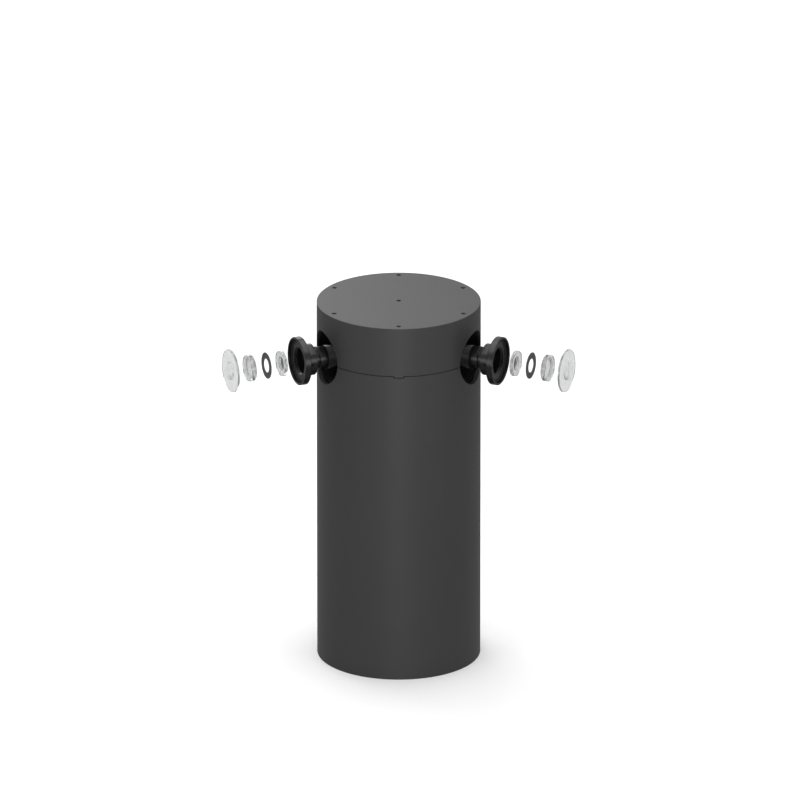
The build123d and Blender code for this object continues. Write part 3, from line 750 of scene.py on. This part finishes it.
# ------------------------------------------------------------------------------------------ post and cap
@dataclass
class PostShell:
    """The painted tube and the head cap that closes it, with their port arches and front key."""

    palette: Palette
    ports: list[PortAxis]
    steps: int = 256
    port_radius: float = 36.4 * MM
    tube_wall: float = 6.0 * MM
    cap_wall: float = 5.0 * MM
    cap_top: float = 8.0 * MM
    key_width: float = 13.4 * MM
    key_depth: float = 2.0 * MM
    key_slope: float = 1.6 * MM
    seam_gap: float = 1.0 * MM
    edge_round: float = 0.7 * MM
    port_round: float = 0.5 * MM
    counterbore_radius: float = 3.2 * MM
    counterbore_depth: float = 3.6 * MM
    screw_hole_radius: float = 1.8 * MM
    screw_head_gap: float = 0.45 * MM
    screw_first_angle: float = 90.0
    cap_skirt: float = 67.0 * MM
    cap_ease: float = 0.25 * MM
    grub_hole_radius: float = 4.05 * MM
    grub_angles: Triple = (15.0, 90.0, 165.0)

    def port_cutters(self, name: str) -> list[Object]:
        """Makes a round cutter along each port axis.

        Args:
            name: what the cutters' names start with.

        Returns:
            The cutters.
        """
        reach = cad_high.y + self.port_radius
        cutters = []
        for port in self.ports:
            cutter = cylinder(name + port.side, self.port_radius, 0, reach, self.steps // 2)
            seat(cutter, port.place)
            cutters.append(cutter)
        return cutters

    def key_prism(self, name: str, spare: float, top: float) -> Object:
        """Makes the key's trapezoid as a prism that runs front to back.

        Args:
            name: the prism's name.
            spare: how much larger it is all round.
            top: the height of its wide end.

        Returns:
            The prism.
        """
        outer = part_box("post_tube")[1][1]
        half = self.key_width / 2 + spare
        low = Vector((-half, -outer - self.tube_wall, top - self.key_depth))
        high = Vector((half, -outer + 3 * self.tube_wall, top))
        prism = block(name, low, high)
        pick(prism, "FACE", lambda face: face.normal.z < -UPRIGHT)
        narrow = 1 - self.key_slope / half
        bpy.ops.transform.resize(value=(narrow, 1, 1), center_override=(0, 0, top))
        pick(prism, "FACE", lambda face: face.normal.z > UPRIGHT)
        push((0, 0, self.seam_gap))
        let_go()
        return prism

    def build_tube(self) -> Object:
        """Models the tube: a ring drawn up, port arches and key notch cut, edges softened.

        Returns:
            The tube.
        """
        low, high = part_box("post_tube")
        outer, top = high[0], high[2]
        let_go()
        foot = (0, 0, low[2])
        bpy.ops.mesh.primitive_circle_add(vertices=self.steps, radius=outer, fill_type="NOTHING", location=foot)
        tube = named("post_tube_shell")
        bpy.ops.object.mode_set(mode="EDIT")
        bpy.ops.mesh.select_all(action="SELECT")
        push((0, 0, top - low[2]))
        bpy.ops.object.mode_set(mode="OBJECT")
        modifier = tube.modifiers.new("wall", "SOLIDIFY")
        modifier.thickness = self.tube_wall
        modifier.offset = -1
        modifier.use_even_offset = True
        close_up(tube)
        take(tube)
        bpy.ops.object.modifier_apply(modifier=modifier.name)
        close_up(tube)
        combine(tube, self.port_cutters("tube_port_"), Cut.AWAY)
        combine(tube, [self.key_prism("tube_notch", self.seam_gap, top)], Cut.AWAY)
        combine(tube, self.grub_cutters(outer), Cut.AWAY)
        soften(tube, self.port_round)
        close_up(tube)
        return tube

    def grub_cutters(self, outer: float) -> list[Object]:
        """Makes a radial cutter for each grub screw hole.

        Args:
            outer: the tube's outer radius.

        Returns:
            The cutters.
        """
        low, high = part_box("base_grub_screws")
        height = (low[2] + high[2]) / 2
        cutters = []
        for angle in self.grub_angles:
            cutter = cylinder("grub_hole_%d" % angle, self.grub_hole_radius, outer / 2, outer * 1.2, 32)
            along = Matrix.Rotation(math.radians(angle), 4, "Z") @ Matrix.Rotation(math.pi / 2, 4, "Y")
            seat(cutter, Matrix.Translation((0, 0, height)) @ along)
            cutters.append(cutter)
        return cutters

    def screw_places(self) -> list[Pair]:
        """Finds where the cap screws stand.

        Returns:
            The screws' axes on the cap, the centre one last.
        """
        low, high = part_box("cap_screws")
        circle = (high[1] - low[1]) / 2 - self.counterbore_radius + self.screw_head_gap
        turns = [math.radians(self.screw_first_angle + 60 * index) for index in range(6)]
        return [(circle * math.cos(turn), circle * math.sin(turn)) for turn in turns] + [(0.0, 0.0)]

    def build_cap(self) -> Object:
        """Models the cap: a drum hollowed from below, its key, arches and counterbores.

        Returns:
            The cap.
        """
        low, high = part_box("head_cap")
        outer, top = high[0], high[2]
        seam = top - self.cap_skirt
        cap = cylinder("head_cap_shell", outer, seam, top, self.steps)
        pick(cap, "FACE", lambda face: face.normal.z < -UPRIGHT)
        bpy.ops.mesh.inset(thickness=self.cap_wall)
        push((0, 0, top - self.cap_top - seam))
        pick(cap, "EDGE", lambda edge: all(vertex.co.z > (top - seam) / 2 - MM for vertex in edge.verts))
        bpy.ops.mesh.bevel(offset=self.edge_round, segments=3, affect="EDGES")
        let_go()
        close_up(cap)
        ring = cylinder("key_ring", outer, low[2], seam + MM, self.steps)
        bore = cylinder("key_ring_bore", outer - self.cap_wall, low[2] - MM, seam + 2 * MM, self.steps)
        combine(ring, [bore], Cut.AWAY)
        combine(ring, [self.key_prism("cap_key", 0.0, seam)], Cut.KEEP)
        combine(cap, [ring], Cut.JOIN)
        combine(cap, self.port_cutters("cap_port_"), Cut.AWAY)
        cutters = []
        for index, place in enumerate(self.screw_places()):
            name = "counterbore_%d" % index
            cutters.append(cylinder(name, self.counterbore_radius, top - self.counterbore_depth, top + MM, 48, place))
            cutters.append(cylinder(name + "_hole", self.screw_hole_radius, top - 2 * self.cap_top, top, 32, place))
        combine(cap, cutters, Cut.AWAY)
        soften(cap, self.cap_ease)
        close_up(cap)
        return cap

    def build(self) -> None:
        """Builds and mounts the tube and the cap."""
        mount(self.build_tube(), "post", "post_paint", self.palette, "post_tube")
        mount(self.build_cap(), "cap", "post_paint", self.palette, "head_cap")


# ------------------------------------------------------------------------------------------ screws
@dataclass
class SocketScrew:
    """A socket-head screw with a chamfered head, a hexagon socket and a threaded shank, head uppermost."""

    head_radius: float
    head_height: float
    shank_radius: float
    length: float
    socket_width: float
    socket_depth: float
    thread_pitch: float = 0.5
    thread_depth: float = 0.18
    edge_share: float = 0.12
    steps: int = 48

    def build(self, name: str) -> Object:
        """Models the screw with its head's underside at the origin.

        Args:
            name: the piece's name.

        Returns:
            The screw.
        """
        edge = self.edge_share * self.head_height
        section = Section([(0.0, self.head_height)], closed=False)
        section.to(self.head_radius - edge, self.head_height)
        section.arc(self.head_radius, self.head_height - edge, -edge / 4, 4)
        section.to(self.head_radius, edge / 2).to(self.head_radius - edge / 2, 0.0).to(self.shank_radius, 0.0)
        section.to(self.shank_radius, -self.thread_pitch)
        section.ridges(-self.length + self.shank_radius / 2, self.thread_pitch, self.thread_depth)
        section.to(self.shank_radius / 2, -self.length).to(0.0, -self.length)
        screw = turn_piece(name, section, self.steps, 25.0)
        corner = self.socket_width / 2 * HEX_CORNER * MM
        top = self.head_height * MM
        socket = cylinder(name + "_socket", corner, top - self.socket_depth * MM, top + MM, 6)
        combine(screw, [socket], Cut.AWAY)
        close_up(screw, 25.0)
        return screw


@dataclass
class CapScrews:
    """The six cap screws on their circle and the one at the centre."""

    palette: Palette
    shell: PostShell
    screw: SocketScrew = field(default_factory=lambda: SocketScrew(2.75, 3.0, 1.5, 12.0, 2.5, 1.6))

    def build(self) -> None:
        """Copies one screw to every place and mounts them."""
        pattern = self.screw.build("cap_screw_pattern")
        seat_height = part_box("centre_screw")[1][2] - self.screw.head_height * MM
        places = self.shell.screw_places()
        copies = [copy_at(pattern, Matrix.Translation((x, y, seat_height))) for x, y in places]
        centre = copies.pop()
        centre.name = centre.data.name = "centre_cap_screw"
        discard(pattern)
        mount(join("edge_cap_screws", copies), "cap", "black_screws", self.palette, "cap_screws")
        mount(centre, "cap", "black_screws", self.palette, "centre_screw")


# ------------------------------------------------------------------------------------------ optics
@dataclass
class LensBarrel:
    """The turned black barrel: flange with a dished seat, neck, seal groove, threaded tail and stepped bore."""

    palette: Palette
    port: PortAxis
    flange_radius: float = 32.5
    flange_thickness: float = 8.8
    seat_radius: float = 29.6
    seat_depth: float = 3.9
    bore_radius: float = 18.15
    neck_radius: float = 21.3
    neck_length: float = 13.3
    shoulder: float = 4.3
    relief_width: float = 6.2
    relief_depth: float = 2.8
    tail_radius: float = 16.0
    tail_bore: float = 11.0
    line_distance: float = 16.0
    thread_start: float = 18.0
    line_half: float = 0.35
    line_floor: float = 0.2
    screw_distance: float = 5.4
    screw_radius: float = 1.6
    screw_length: float = 2.0
    screw_sink: float = 1.0
    screw_ease: float = 0.2
    socket_width: float = 1.6
    socket_depth: float = 1.2
    seal_radius: float = 0.9
    gasket_inner: float = 25.1
    gasket_outer: float = 29.55
    gasket_height: float = 0.5
    gasket_ease: float = 0.15
    clearance: float = 0.05
    ease: float = 0.5
    flange_round: float = 0.9

    def section(self, back: float, front: float) -> Section:
        """Draws the barrel's section.

        Args:
            back: station of the tail's end.
            front: station of the flange's front.

        Returns:
            The section.
        """
        flange_back = front - self.flange_thickness
        neck_back = flange_back - self.neck_length
        floor = front - self.seat_depth
        shelf = neck_back + self.shoulder
        relief = self.tail_radius - self.relief_depth
        tail_front = neck_back - self.relief_width
        line = neck_back - self.line_distance
        tail, ease, edge = self.tail_radius, self.ease, self.flange_round
        out = Section([(self.tail_bore + 0.4, back)])
        out.to(tail - ease, back).to(tail, back + ease).to(tail, back + 1.2)
        out.ridges(neck_back - self.thread_start, 0.8, 0.3)
        out.to(tail, line - self.line_half).to(tail - ease, line - self.line_floor)
        out.to(tail - ease, line + self.line_floor).to(tail, line + self.line_half)
        out.to(tail, tail_front - 0.7).arc(tail - 0.7, tail_front, 0.2, 4)
        out.to(relief + ease, tail_front).arc(relief, tail_front + ease, -0.14, 3).to(relief, neck_back)
        out.to(self.neck_radius - ease, neck_back).arc(self.neck_radius, neck_back + ease, 0.15, 3)
        out.to(self.neck_radius, flange_back - edge).arc(self.neck_radius + edge, flange_back, -0.26, 4)
        out.to(self.flange_radius - edge, flange_back).arc(self.flange_radius, flange_back + edge, 0.26, 4)
        out.to(self.flange_radius, front - 0.6).arc(self.flange_radius - 0.6, front, 0.17, 4)
        out.to(self.seat_radius + 0.35, front).arc(self.seat_radius, front - 0.35, 0.1, 3)
        out.to(self.seat_radius, floor + 0.3).arc(self.seat_radius - 0.3, floor, -0.09, 3)
        out.to(self.bore_radius + ease, floor).to(self.bore_radius, floor - ease)
        out.to(self.bore_radius, floor - 1.0).ridges(floor - 4.0, 0.6, -0.25)
        out.to(self.bore_radius, shelf).to(self.tail_bore + ease, shelf).to(self.tail_bore, shelf - ease)
        out.to(self.tail_bore, shelf - 1.0).ridges(back + 2.0, 1.2, -0.4)
        out.to(self.tail_bore, back + 0.4)
        return out

    def screw_place(self, front: float) -> Matrix:
        """Finds the set screw's place: its axis crosses the port axis and points at the neck's front side.

        Args:
            front: station of the flange's front.

        Returns:
            The place, in the port's own frame.
        """
        middle = (front - self.flange_thickness - self.screw_distance) * MM
        across = Matrix.Rotation(self.port.frontward * math.pi / 2, 4, "Y")
        return Matrix.Translation((0, 0, middle)) @ across

    def build_barrel(self, back: float, front: float) -> None:
        """Turns the barrel, drills its screw hole and mounts it.

        Args:
            back: station of the tail's end.
            front: station of the flange's front.
        """
        side = self.port.side
        barrel = turn_piece("lens_barrel_" + side, self.section(back, front), 160)
        hole = (self.screw_radius + 2 * self.clearance) * MM
        drill = cylinder("screw_drill_" + side, hole, self.bore_radius / 2 * MM, 30 * MM, 32)
        seat(drill, self.screw_place(front))
        combine(barrel, [drill], Cut.AWAY)
        close_up(barrel)
        seat(barrel, self.port.place)
        mount(barrel, "barrel_" + side, "black_anodised", self.palette, "barrel_" + side)

    def build_set_screw(self, front: float) -> None:
        """Turns the set screw, broaches its socket and sinks it in the neck.

        Args:
            front: station of the flange's front.
        """
        side, tip = self.port.side, self.screw_radius - self.screw_ease
        outline = Section([(0.0, 0.0), (tip, 0.0), (self.screw_radius, -self.screw_ease)], closed=False)
        outline.ridges(self.screw_ease - self.screw_length, 0.4, 0.12)
        outline.to(tip, -self.screw_length).to(0.0, -self.screw_length)
        screw = turn_piece("neck_set_screw_" + side, outline, 32, 25.0)
        corner = self.socket_width / 2 * HEX_CORNER * MM
        socket = cylinder("neck_screw_socket_" + side, corner, -self.socket_depth * MM, MM, 6)
        combine(screw, [socket], Cut.AWAY)
        close_up(screw, 25.0)
        sunk = Matrix.Translation((0, 0, (self.neck_radius - self.screw_sink) * MM))
        seat(screw, self.port.place @ self.screw_place(front) @ sunk)
        mount(screw, "barrel_" + side, "black_screws", self.palette, "set_screw_" + side)

    def build_seals(self, front: float) -> None:
        """Turns the round seal behind the neck and the flat gasket under the glass.

        Args:
            front: station of the flange's front.
        """
        side = self.port.side
        inner = self.tail_radius - self.relief_depth + self.clearance
        middle = front - self.flange_thickness - self.neck_length - self.clearance - self.seal_radius
        bulge = self.seal_radius * 0.999
        ring = Section([(inner, middle)])
        ring.arc(inner + 2 * self.seal_radius, middle, bulge, 10).arc(inner + 0.001, middle, bulge, 10)
        seal = turn_piece("neck_seal_" + side, ring, 128)
        seat(seal, self.port.place)
        mount(seal, "barrel_" + side, "seal_rubber", self.palette, "barrel_seal_" + side)

        floor, ease = front - self.seat_depth, self.gasket_ease
        top = floor + self.gasket_height
        flat = Section([(self.gasket_inner, floor), (self.gasket_outer, floor), (self.gasket_outer, top - ease)])
        flat.to(self.gasket_outer - ease, top).to(self.gasket_inner + ease, top).to(self.gasket_inner, top - ease)
        gasket = turn_piece("seat_gasket_" + side, flat, 128)
        seat(gasket, self.port.place)
        mount(gasket, "barrel_" + side, "seal_rubber", self.palette, "glass_gasket_" + side)

    def build(self) -> None:
        """Builds the barrel with its set screw, seal and glass gasket."""
        span = self.port.span("barrel_" + self.port.side)
        front = span.front / MM
        self.build_barrel(span.back / MM, front)
        self.build_set_screw(front)
        self.build_seals(front)


@dataclass
class OpticStack:
    """The clear optics of one side: inner lens, spacer ring, outer lens and domed cover glass."""

    palette: Palette
    port: PortAxis
    steps: int = 128
    edge: float = 0.35
    inner_cup_radius: float = 9.5
    inner_cup_depth: float = 2.6
    dimple_radius: float = 5.0
    dimple_depth: float = 1.0
    outer_cup_radius: float = 14.0
    outer_cup_depth: float = 4.2
    crown_height: float = 0.6
    cup_lip: float = 0.25
    glass_edge: float = 0.4
    dome_radius: float = 12.5
    dome_height: float = 4.0
    spacer_bore: float = 9.3
    spacer_ease: float = 0.12

    def inner_lens(self, back: float, front: float, radius: float) -> Section:
        """Draws the inner lens: a flat rimmed disc with a cup behind and a dimple in front.

        Args:
            back: station of its back, in millimetres.
            front: station of its front, in millimetres.
            radius: its outer radius, in millimetres.

        Returns:
            The section.
        """
        edge, cup = self.edge, self.inner_cup_radius
        out = Section([(0.0, back + self.inner_cup_depth)], closed=False)
        out.arc(cup, back + 0.12, -0.63, 14).to(cup + self.cup_lip, back)
        out.to(radius - edge, back).arc(radius, back + edge, 0.1, 3)
        out.to(radius, front - edge).arc(radius - edge, front, 0.1, 3)
        out.to(self.dimple_radius + 0.2, front).to(self.dimple_radius, front - 0.08)
        return out.arc(0.0, front - self.dimple_depth, -0.23, 12)

    def outer_lens(self, back: float, front: float, radius: float) -> Section:
        """Draws the outer lens: a deep cup behind and a low crown in front.

        Args:
            back: station of its back, in millimetres.
            front: station of its front, in millimetres.
            radius: its outer radius, in millimetres.

        Returns:
            The section.
        """
        edge, cup = self.edge, self.outer_cup_radius
        out = Section([(0.0, back + self.outer_cup_depth)], closed=False)
        out.arc(cup, back + 0.12, -1.04, 20).to(cup + self.cup_lip, back)
        out.to(radius - edge, back).arc(radius, back + edge, 0.1, 3)
        out.to(radius, front - 1.0).arc(radius - edge, front - self.crown_height, 0.1, 3)
        return out.arc(0.0, front, 0.15, 20)

    def cover_glass(self, back: float, front: float, radius: float) -> Section:
        """Draws the cover glass: a flat disc with a low dome in the middle of its front.

        Args:
            back: station of its back, in millimetres.
            front: station of its front, in millimetres.
            radius: its outer radius, in millimetres.

        Returns:
            The section.
        """
        face, edge, dome = front - self.dome_height, self.glass_edge, self.dome_radius
        out = Section([(0.0, back)], closed=False)
        out.to(radius - edge, back).arc(radius, back + edge, 0.12, 4).to(radius, face - edge)
        out.arc(radius - edge, face, 0.12, 4)
        out.to(dome + 0.25, face).to(dome, face + 0.25).to(dome - 0.1, face + 1.1)
        return out.arc(0.0, front, 0.73, 24)

    def spacer(self, back: float, front: float, radius: float) -> Section:
        """Draws the spacer: a thin flat ring with eased edges.

        Args:
            back: station of its back, in millimetres.
            front: station of its front, in millimetres.
            radius: its outer radius, in millimetres.

        Returns:
            The section.
        """
        bore, ease = self.spacer_bore, self.spacer_ease
        out = Section([(bore + ease, back), (radius - ease, back), (radius, back + ease), (radius, front - ease)])
        return out.to(radius - ease, front).to(bore + ease, front).to(bore, front - ease).to(bore, back + ease)

    def build(self) -> None:
        """Turns, places and mounts the four pieces."""
        side = self.port.side
        makers = {
            "inner_lens_": (self.inner_lens, "clear_lens", "inner_optic_"),
            "spacer_ring_": (self.spacer, "spacer_grey", "spacer_"),
            "outer_lens_": (self.outer_lens, "clear_lens", "outer_optic_"),
            "cover_glass_": (self.cover_glass, "clear_cover", "domed_glass_"),
        }
        for node, (draw, slot, name) in makers.items():
            span = self.port.span(node + side)
            section = draw(span.back / MM, span.front / MM, span.radius / MM)
            piece = turn_piece(name + side, section, self.steps, 24.0)
            seat(piece, self.port.place)
            mount(piece, node + side, slot, self.palette, node + side)


@dataclass
class PortHousing:
    """The black socket behind one port: a baffled cup on a screwed foot."""

    palette: Palette
    port: PortAxis
    radius: float = 35.9
    wall: float = 2.4
    back_wall: float = 4.0
    tail_hole: float = 16.5
    foot_width: float = 30.0
    foot_length: float = 24.0
    ear_width: float = 60.0
    ear_thickness: float = 5.0
    ear_screws: float = 46.0
    ear_hole: float = 2.05
    foot_ease: float = 0.6
    rim_ease: float = 0.4

    def section(self, back: float, front: float) -> Section:
        """Draws the cup, its bore baffled against stray light.

        Args:
            back: station of the cup's back.
            front: station of its mouth.

        Returns:
            The section.
        """
        bore = self.radius - self.wall
        hole, ease, floor = self.tail_hole, self.rim_ease, back + self.back_wall
        out = Section([(hole + ease, back), (self.radius - 0.6, back), (self.radius, back + 0.6)])
        out.to(self.radius, front - 0.3).to(self.radius - 0.3, front).to(bore + ease, front).to(bore, front - ease)
        out.to(bore, front - 3.0).ridges(floor + 3.0, 1.6, -0.7)
        out.to(bore, floor).to(hole + ease, floor).to(hole, floor - ease).to(hole, back + ease)
        return out

    def build(self) -> None:
        """Turns the cup, shapes its foot and mounts both as one piece."""
        side, node = self.port.side, "port_housing_" + self.port.side
        to_local = self.port.place.inverted()
        points = [to_local @ vertex.co for vertex in frame["nodes"][node].data.vertices]
        back, front = min(point.z for point in points), max(point.z for point in points)
        bottom = min(point.y for point in points)
        middle = (back + front) / 2
        cup = turn_piece("port_socket_" + side, self.section(back / MM, front / MM), 128)
        half, along = self.foot_width / 2 * MM, self.foot_length / 2 * MM
        cup_floor = -(self.radius - self.wall * 0.6) * MM
        corner = Vector((half, cup_floor * 0.8, middle + along))
        foot = block("foot_" + side, Vector((-half, bottom, middle - along)), corner)
        ear = self.ear_width / 2 * MM
        ear_top = bottom + self.ear_thickness * MM
        ears = block("ears_" + side, Vector((-ear, bottom, middle - along)), Vector((ear, ear_top, middle + along)))
        combine(foot, [ears], Cut.JOIN)
        bore = cylinder("bore_" + side, -cup_floor, middle - 2 * along, middle + 2 * along, 128)
        combine(foot, [bore], Cut.AWAY)
        holes = []
        for sign in (-1, 1):
            hole = cylinder("ear_hole_%d" % sign, self.ear_hole * MM, -0.1, 0.1, 24)
            centre = Matrix.Translation((sign * self.ear_screws / 2 * MM, bottom, middle))
            seat(hole, centre @ Matrix.Rotation(math.pi / 2, 4, "X"))
            holes.append(hole)
        combine(foot, holes, Cut.AWAY)
        soften(foot, self.foot_ease * MM)
        combine(cup, [foot], Cut.JOIN)
        close_up(cup)
        seat(cup, self.port.place)
        mount(cup, "post", "port_black", self.palette, node)


# ------------------------------------------------------------------------------------------ gear inside
@dataclass
class InnerGear:
    """What shows inside once the cap is off: the carrier plate, its pillars and the two emitters."""

    palette: Palette
    ports: list[PortAxis]
    light_hole_radius: float = 16.0
    light_hole_circle: float = 55.0
    cap_screw_circle: float = 99.25
    cap_screw_hole: float = 1.8
    pillar_circle: float = 89.55
    pillar_azimuths: tuple[float, ...] = (0.0, 120.0, 180.0, 240.0)
    pillar_width: float = 10.0
    pillar_bore: float = 2.05
    pillar_bore_depth: float = 10.0
    pillar_ease: float = 0.4
    flat_head_radius: float = 4.05
    flat_head_depth: float = 2.3
    carrier_round: float = 0.5
    emitter_width: float = 7.0
    emitter_base: float = 1.2
    emitter_dome: float = 2.8
    emitter_ease: float = 0.2

    def pillar_places(self, height: float) -> list[Matrix]:
        """Lists the pillars' places at a height, each turned to face the post's axis.

        Args:
            height: the height of the places.

        Returns:
            The places, as matrices.
        """
        places = []
        for azimuth in self.pillar_azimuths:
            turn = math.radians(azimuth)
            spot = Vector((-math.sin(turn), -math.cos(turn), 0)) * self.pillar_circle * MM
            spot.z = height
            places.append(Matrix.Translation(spot) @ Matrix.Rotation(-turn, 4, "Z"))
        return places

    def ring_of_cutters(
        self, name: str, radius: float, circle: float, start: float, low: float, high: float
    ) -> Object:
        """Makes six round cutters on a circle, as one object.

        Args:
            name: the cutters' name.
            radius: the radius of each.
            circle: the radius of the circle that they stand on.
            start: angle of the first, in degrees from +X.
            low: height of their lower ends.
            high: height of their upper ends.

        Returns:
            The cutters.
        """
        cutters = []
        for index in range(6):
            turn = math.radians(start + 60 * index)
            spot = (circle * MM * math.cos(turn), circle * MM * math.sin(turn))
            cutters.append(cylinder("%s_%d" % (name, index), radius * MM, low, high, 64, spot))
        return join(name, cutters)

    def build_carrier(self) -> None:
        """Cuts the carrier plate from a disc: light holes, screw holes and countersinks."""
        low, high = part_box("top_carrier")
        plate = cylinder("carrier_plate", high[0], low[2], high[2], 256)
        below, above = low[2] - 0.01, high[2] + 0.01
        wide = self.ring_of_cutters(
            "light_holes", self.light_hole_radius, self.light_hole_circle, 120.0, below, above
        )
        combine(plate, [wide], Cut.AWAY)
        soften(plate, self.carrier_round * MM)
        holes = self.ring_of_cutters("screw_holes", self.cap_screw_hole, self.cap_screw_circle, 90.0, below, above)
        centre = cylinder("centre_hole", self.cap_screw_hole * MM, below, above, 48)
        drill = Section([(0.0, -10.0)], closed=False)
        drill.to(self.pillar_bore, -10.0).to(self.pillar_bore, -self.flat_head_depth)
        drill.to(self.flat_head_radius, 0.0).to(self.flat_head_radius, 2.0).to(0.0, 2.0)
        pattern = turn_piece("countersink", drill, 48)
        sinks = [copy_at(pattern, place) for place in self.pillar_places(high[2])]
        discard(pattern)
        combine(plate, [holes, centre, join("countersinks", sinks)], Cut.AWAY)
        close_up(plate)
        mount(plate, "post", "plate_aluminium", self.palette, "top_carrier")

    def build_pillars(self) -> None:
        """Turns one hexagonal pillar with eased ends and tapped bores, and stands four of them."""
        low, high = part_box("pillars")
        length = (high[2] - low[2]) / MM
        corner = self.pillar_width / 2 * HEX_CORNER
        bore, depth, ease = self.pillar_bore, self.pillar_bore_depth, self.pillar_ease
        outline = Section([(0.0, depth)], closed=False)
        outline.to(bore, depth).to(bore, ease).to(bore + ease, 0.0).to(corner - ease, 0.0).to(corner, ease)
        outline.to(corner, length - ease).to(corner - ease, length).to(bore + ease, length)
        outline.to(bore, length - ease).to(bore, length - depth).to(0.0, length - depth)
        pattern = turn_piece("pillar_pattern", outline, 6, 20.0)
        pillars = [copy_at(pattern, place) for place in self.pillar_places(low[2])]
        discard(pattern)
        mount(join("hex_pillars", pillars), "post", "plate_aluminium", self.palette, "pillars")

    def build_emitter(self, port: PortAxis) -> None:
        """Shapes one side's emitter: a domed lens on a square base with eased edges.

        Args:
            port: the side's port axis.
        """
        node = "led_emitter_" + port.side
        back = port.span(node).back
        half = self.emitter_width / 2 * MM
        corner = Vector((half, half, back + self.emitter_base * MM))
        base = block("emitter_lens_" + port.side, Vector((-half, -half, back)), corner)
        soften(base, self.emitter_ease * MM)
        foot = back / MM + self.emitter_base
        dome = Section([(0.0, foot - 0.3)], closed=False)
        dome.to(self.emitter_dome, foot - 0.3).to(self.emitter_dome, foot)
        dome.arc(0.0, foot + self.emitter_dome, self.emitter_dome * (1 - math.sqrt(0.5)), 12)
        combine(base, [turn_piece("dome_" + port.side, dome, 48)], Cut.JOIN)
        close_up(base)
        seat(base, port.place)
        mount(base, "post", "emitter_yellow", self.palette, node)

    def build(self) -> None:
        """Builds and mounts the carrier, the pillars and both emitters."""
        self.build_carrier()
        self.build_pillars()
        for port in self.ports:
            self.build_emitter(port)


# ------------------------------------------------------------------------------------------ studio
@dataclass(frozen=True)
class SoftLight:
    """One soft rectangular light: where it hangs, its width and height, and its power in watts."""

    name: str
    place: Triple
    size: Pair
    power: float


@dataclass
class Studio:
    """Plain pale floor, soft lights and a long-lens camera a little above the post."""

    camera_distance: float = 20.157
    camera_height: float = 7.923
    camera_aside: float = 0.0017
    camera_pitch: float = 20.57
    focal_length: float = 725.0
    floor_size: float = 60.0
    world_strength: float = 0.6
    world_below: float = 0.3
    lights: tuple[SoftLight, ...] = (
        SoftLight("top_softbox", (0, 0.3, 3.2), (4.0, 4.0), 85),
        SoftLight("front_softbox", (0, -3.0, 0.45), (1.2, 0.9), 20.5),
        SoftLight("front_left_softbox", (-2.1, -2.1, 0.8), (0.9, 1.2), 6.8),
        SoftLight("front_right_softbox", (2.1, -2.1, 0.8), (0.9, 1.2), 8.2),
        SoftLight("back_softbox", (-1.3, 2.6, 1.5), (2.6, 1.6), 29),
    )

    def build_floor(self) -> None:
        """Lays the floor under the post."""
        let_go()
        bpy.ops.mesh.primitive_plane_add(size=self.floor_size, location=(0, 0, cad_low.z))
        floor = named("studio_floor")
        graph = Graph("studio_floor")
        graph.tint(graph.noise(graph.place, 2.0), (0.93, 0.93, 0.93), (0.95, 0.95, 0.95))
        graph.shader.inputs["Roughness"].default_value = 0.9
        graph.shader.inputs["Specular IOR Level"].default_value = 0.1
        floor.data.materials.append(graph.material)
        floor.visible_glossy = False

    def build_light(self, light: SoftLight) -> None:
        """Hangs a soft light and turns it to the middle of the post.

        Args:
            light: the light to hang.
        """
        let_go()
        place = Vector(light.place)
        aim = Vector((0, 0, (cad_low.z + cad_high.z) / 2))
        bpy.ops.object.light_add(type="AREA", location=place)
        lamp = bpy.context.object
        lamp.name = light.name
        lamp.data.shape = "RECTANGLE"
        lamp.data.size, lamp.data.size_y = light.size
        lamp.data.energy = light.power
        lamp.visible_camera = False
        lamp.rotation_euler = (aim - place).to_track_quat("-Z", "Y").to_euler()

    def build_world(self) -> None:
        """Lights the surroundings evenly, brighter above the horizon than below it."""
        world = bpy.data.worlds.new("studio_world")
        bpy.context.scene.world = world
        world.use_nodes = True
        tree = world.node_tree
        background = tree.nodes["Background"]
        background.inputs["Color"].default_value = (1, 1, 1, 1)
        direction = tree.nodes.new("ShaderNodeTexCoord")
        split = tree.nodes.new("ShaderNodeSeparateXYZ")
        fade = tree.nodes.new("ShaderNodeMapRange")
        tree.links.new(direction.outputs["Generated"], split.inputs["Vector"])
        tree.links.new(split.outputs["Z"], fade.inputs["Value"])
        fade.inputs["From Min"].default_value = -0.2
        fade.inputs["From Max"].default_value = 0.2
        fade.inputs["To Min"].default_value = self.world_below
        fade.inputs["To Max"].default_value = self.world_strength
        tree.links.new(fade.outputs["Result"], background.inputs["Strength"])

    def build_camera(self) -> None:
        """Sets up the long-lens camera, which looks down at the post."""
        let_go()
        place = (self.camera_aside, -self.camera_distance, self.camera_height)
        bpy.ops.object.camera_add(location=place, rotation=(math.radians(90 - self.camera_pitch), 0, 0))
        camera = bpy.context.object
        camera.name = "studio_camera"
        camera.data.lens = self.focal_length
        camera.data.sensor_width = 36.0
        camera.data.clip_start = 0.5
        camera.data.clip_end = 100.0
        bpy.context.scene.camera = camera
        bpy.context.scene.view_settings.view_transform = "Standard"

    def build(self) -> None:
        """Builds the floor, the lights, the world and the camera."""
        self.build_floor()
        for light in self.lights:
            self.build_light(light)
        self.build_world()
        self.build_camera()


def main() -> None:
    """Builds the post piece by piece and the studio round it."""
    logging.basicConfig(level=logging.INFO, format="%(name)s: %(message)s")
    palette = Palette()
    palette.dress_frame()
    ports = [PortAxis("left"), PortAxis("right")]
    shell = PostShell(palette, ports)
    shell.build()
    CapScrews(palette, shell).build()
    InnerGear(palette, ports).build()
    for port in ports:
        PortHousing(palette, port).build()
        LensBarrel(palette, port).build()
        OpticStack(palette, port).build()
    Studio().build()
    let_go()


if __name__ == "__main__":
    main()
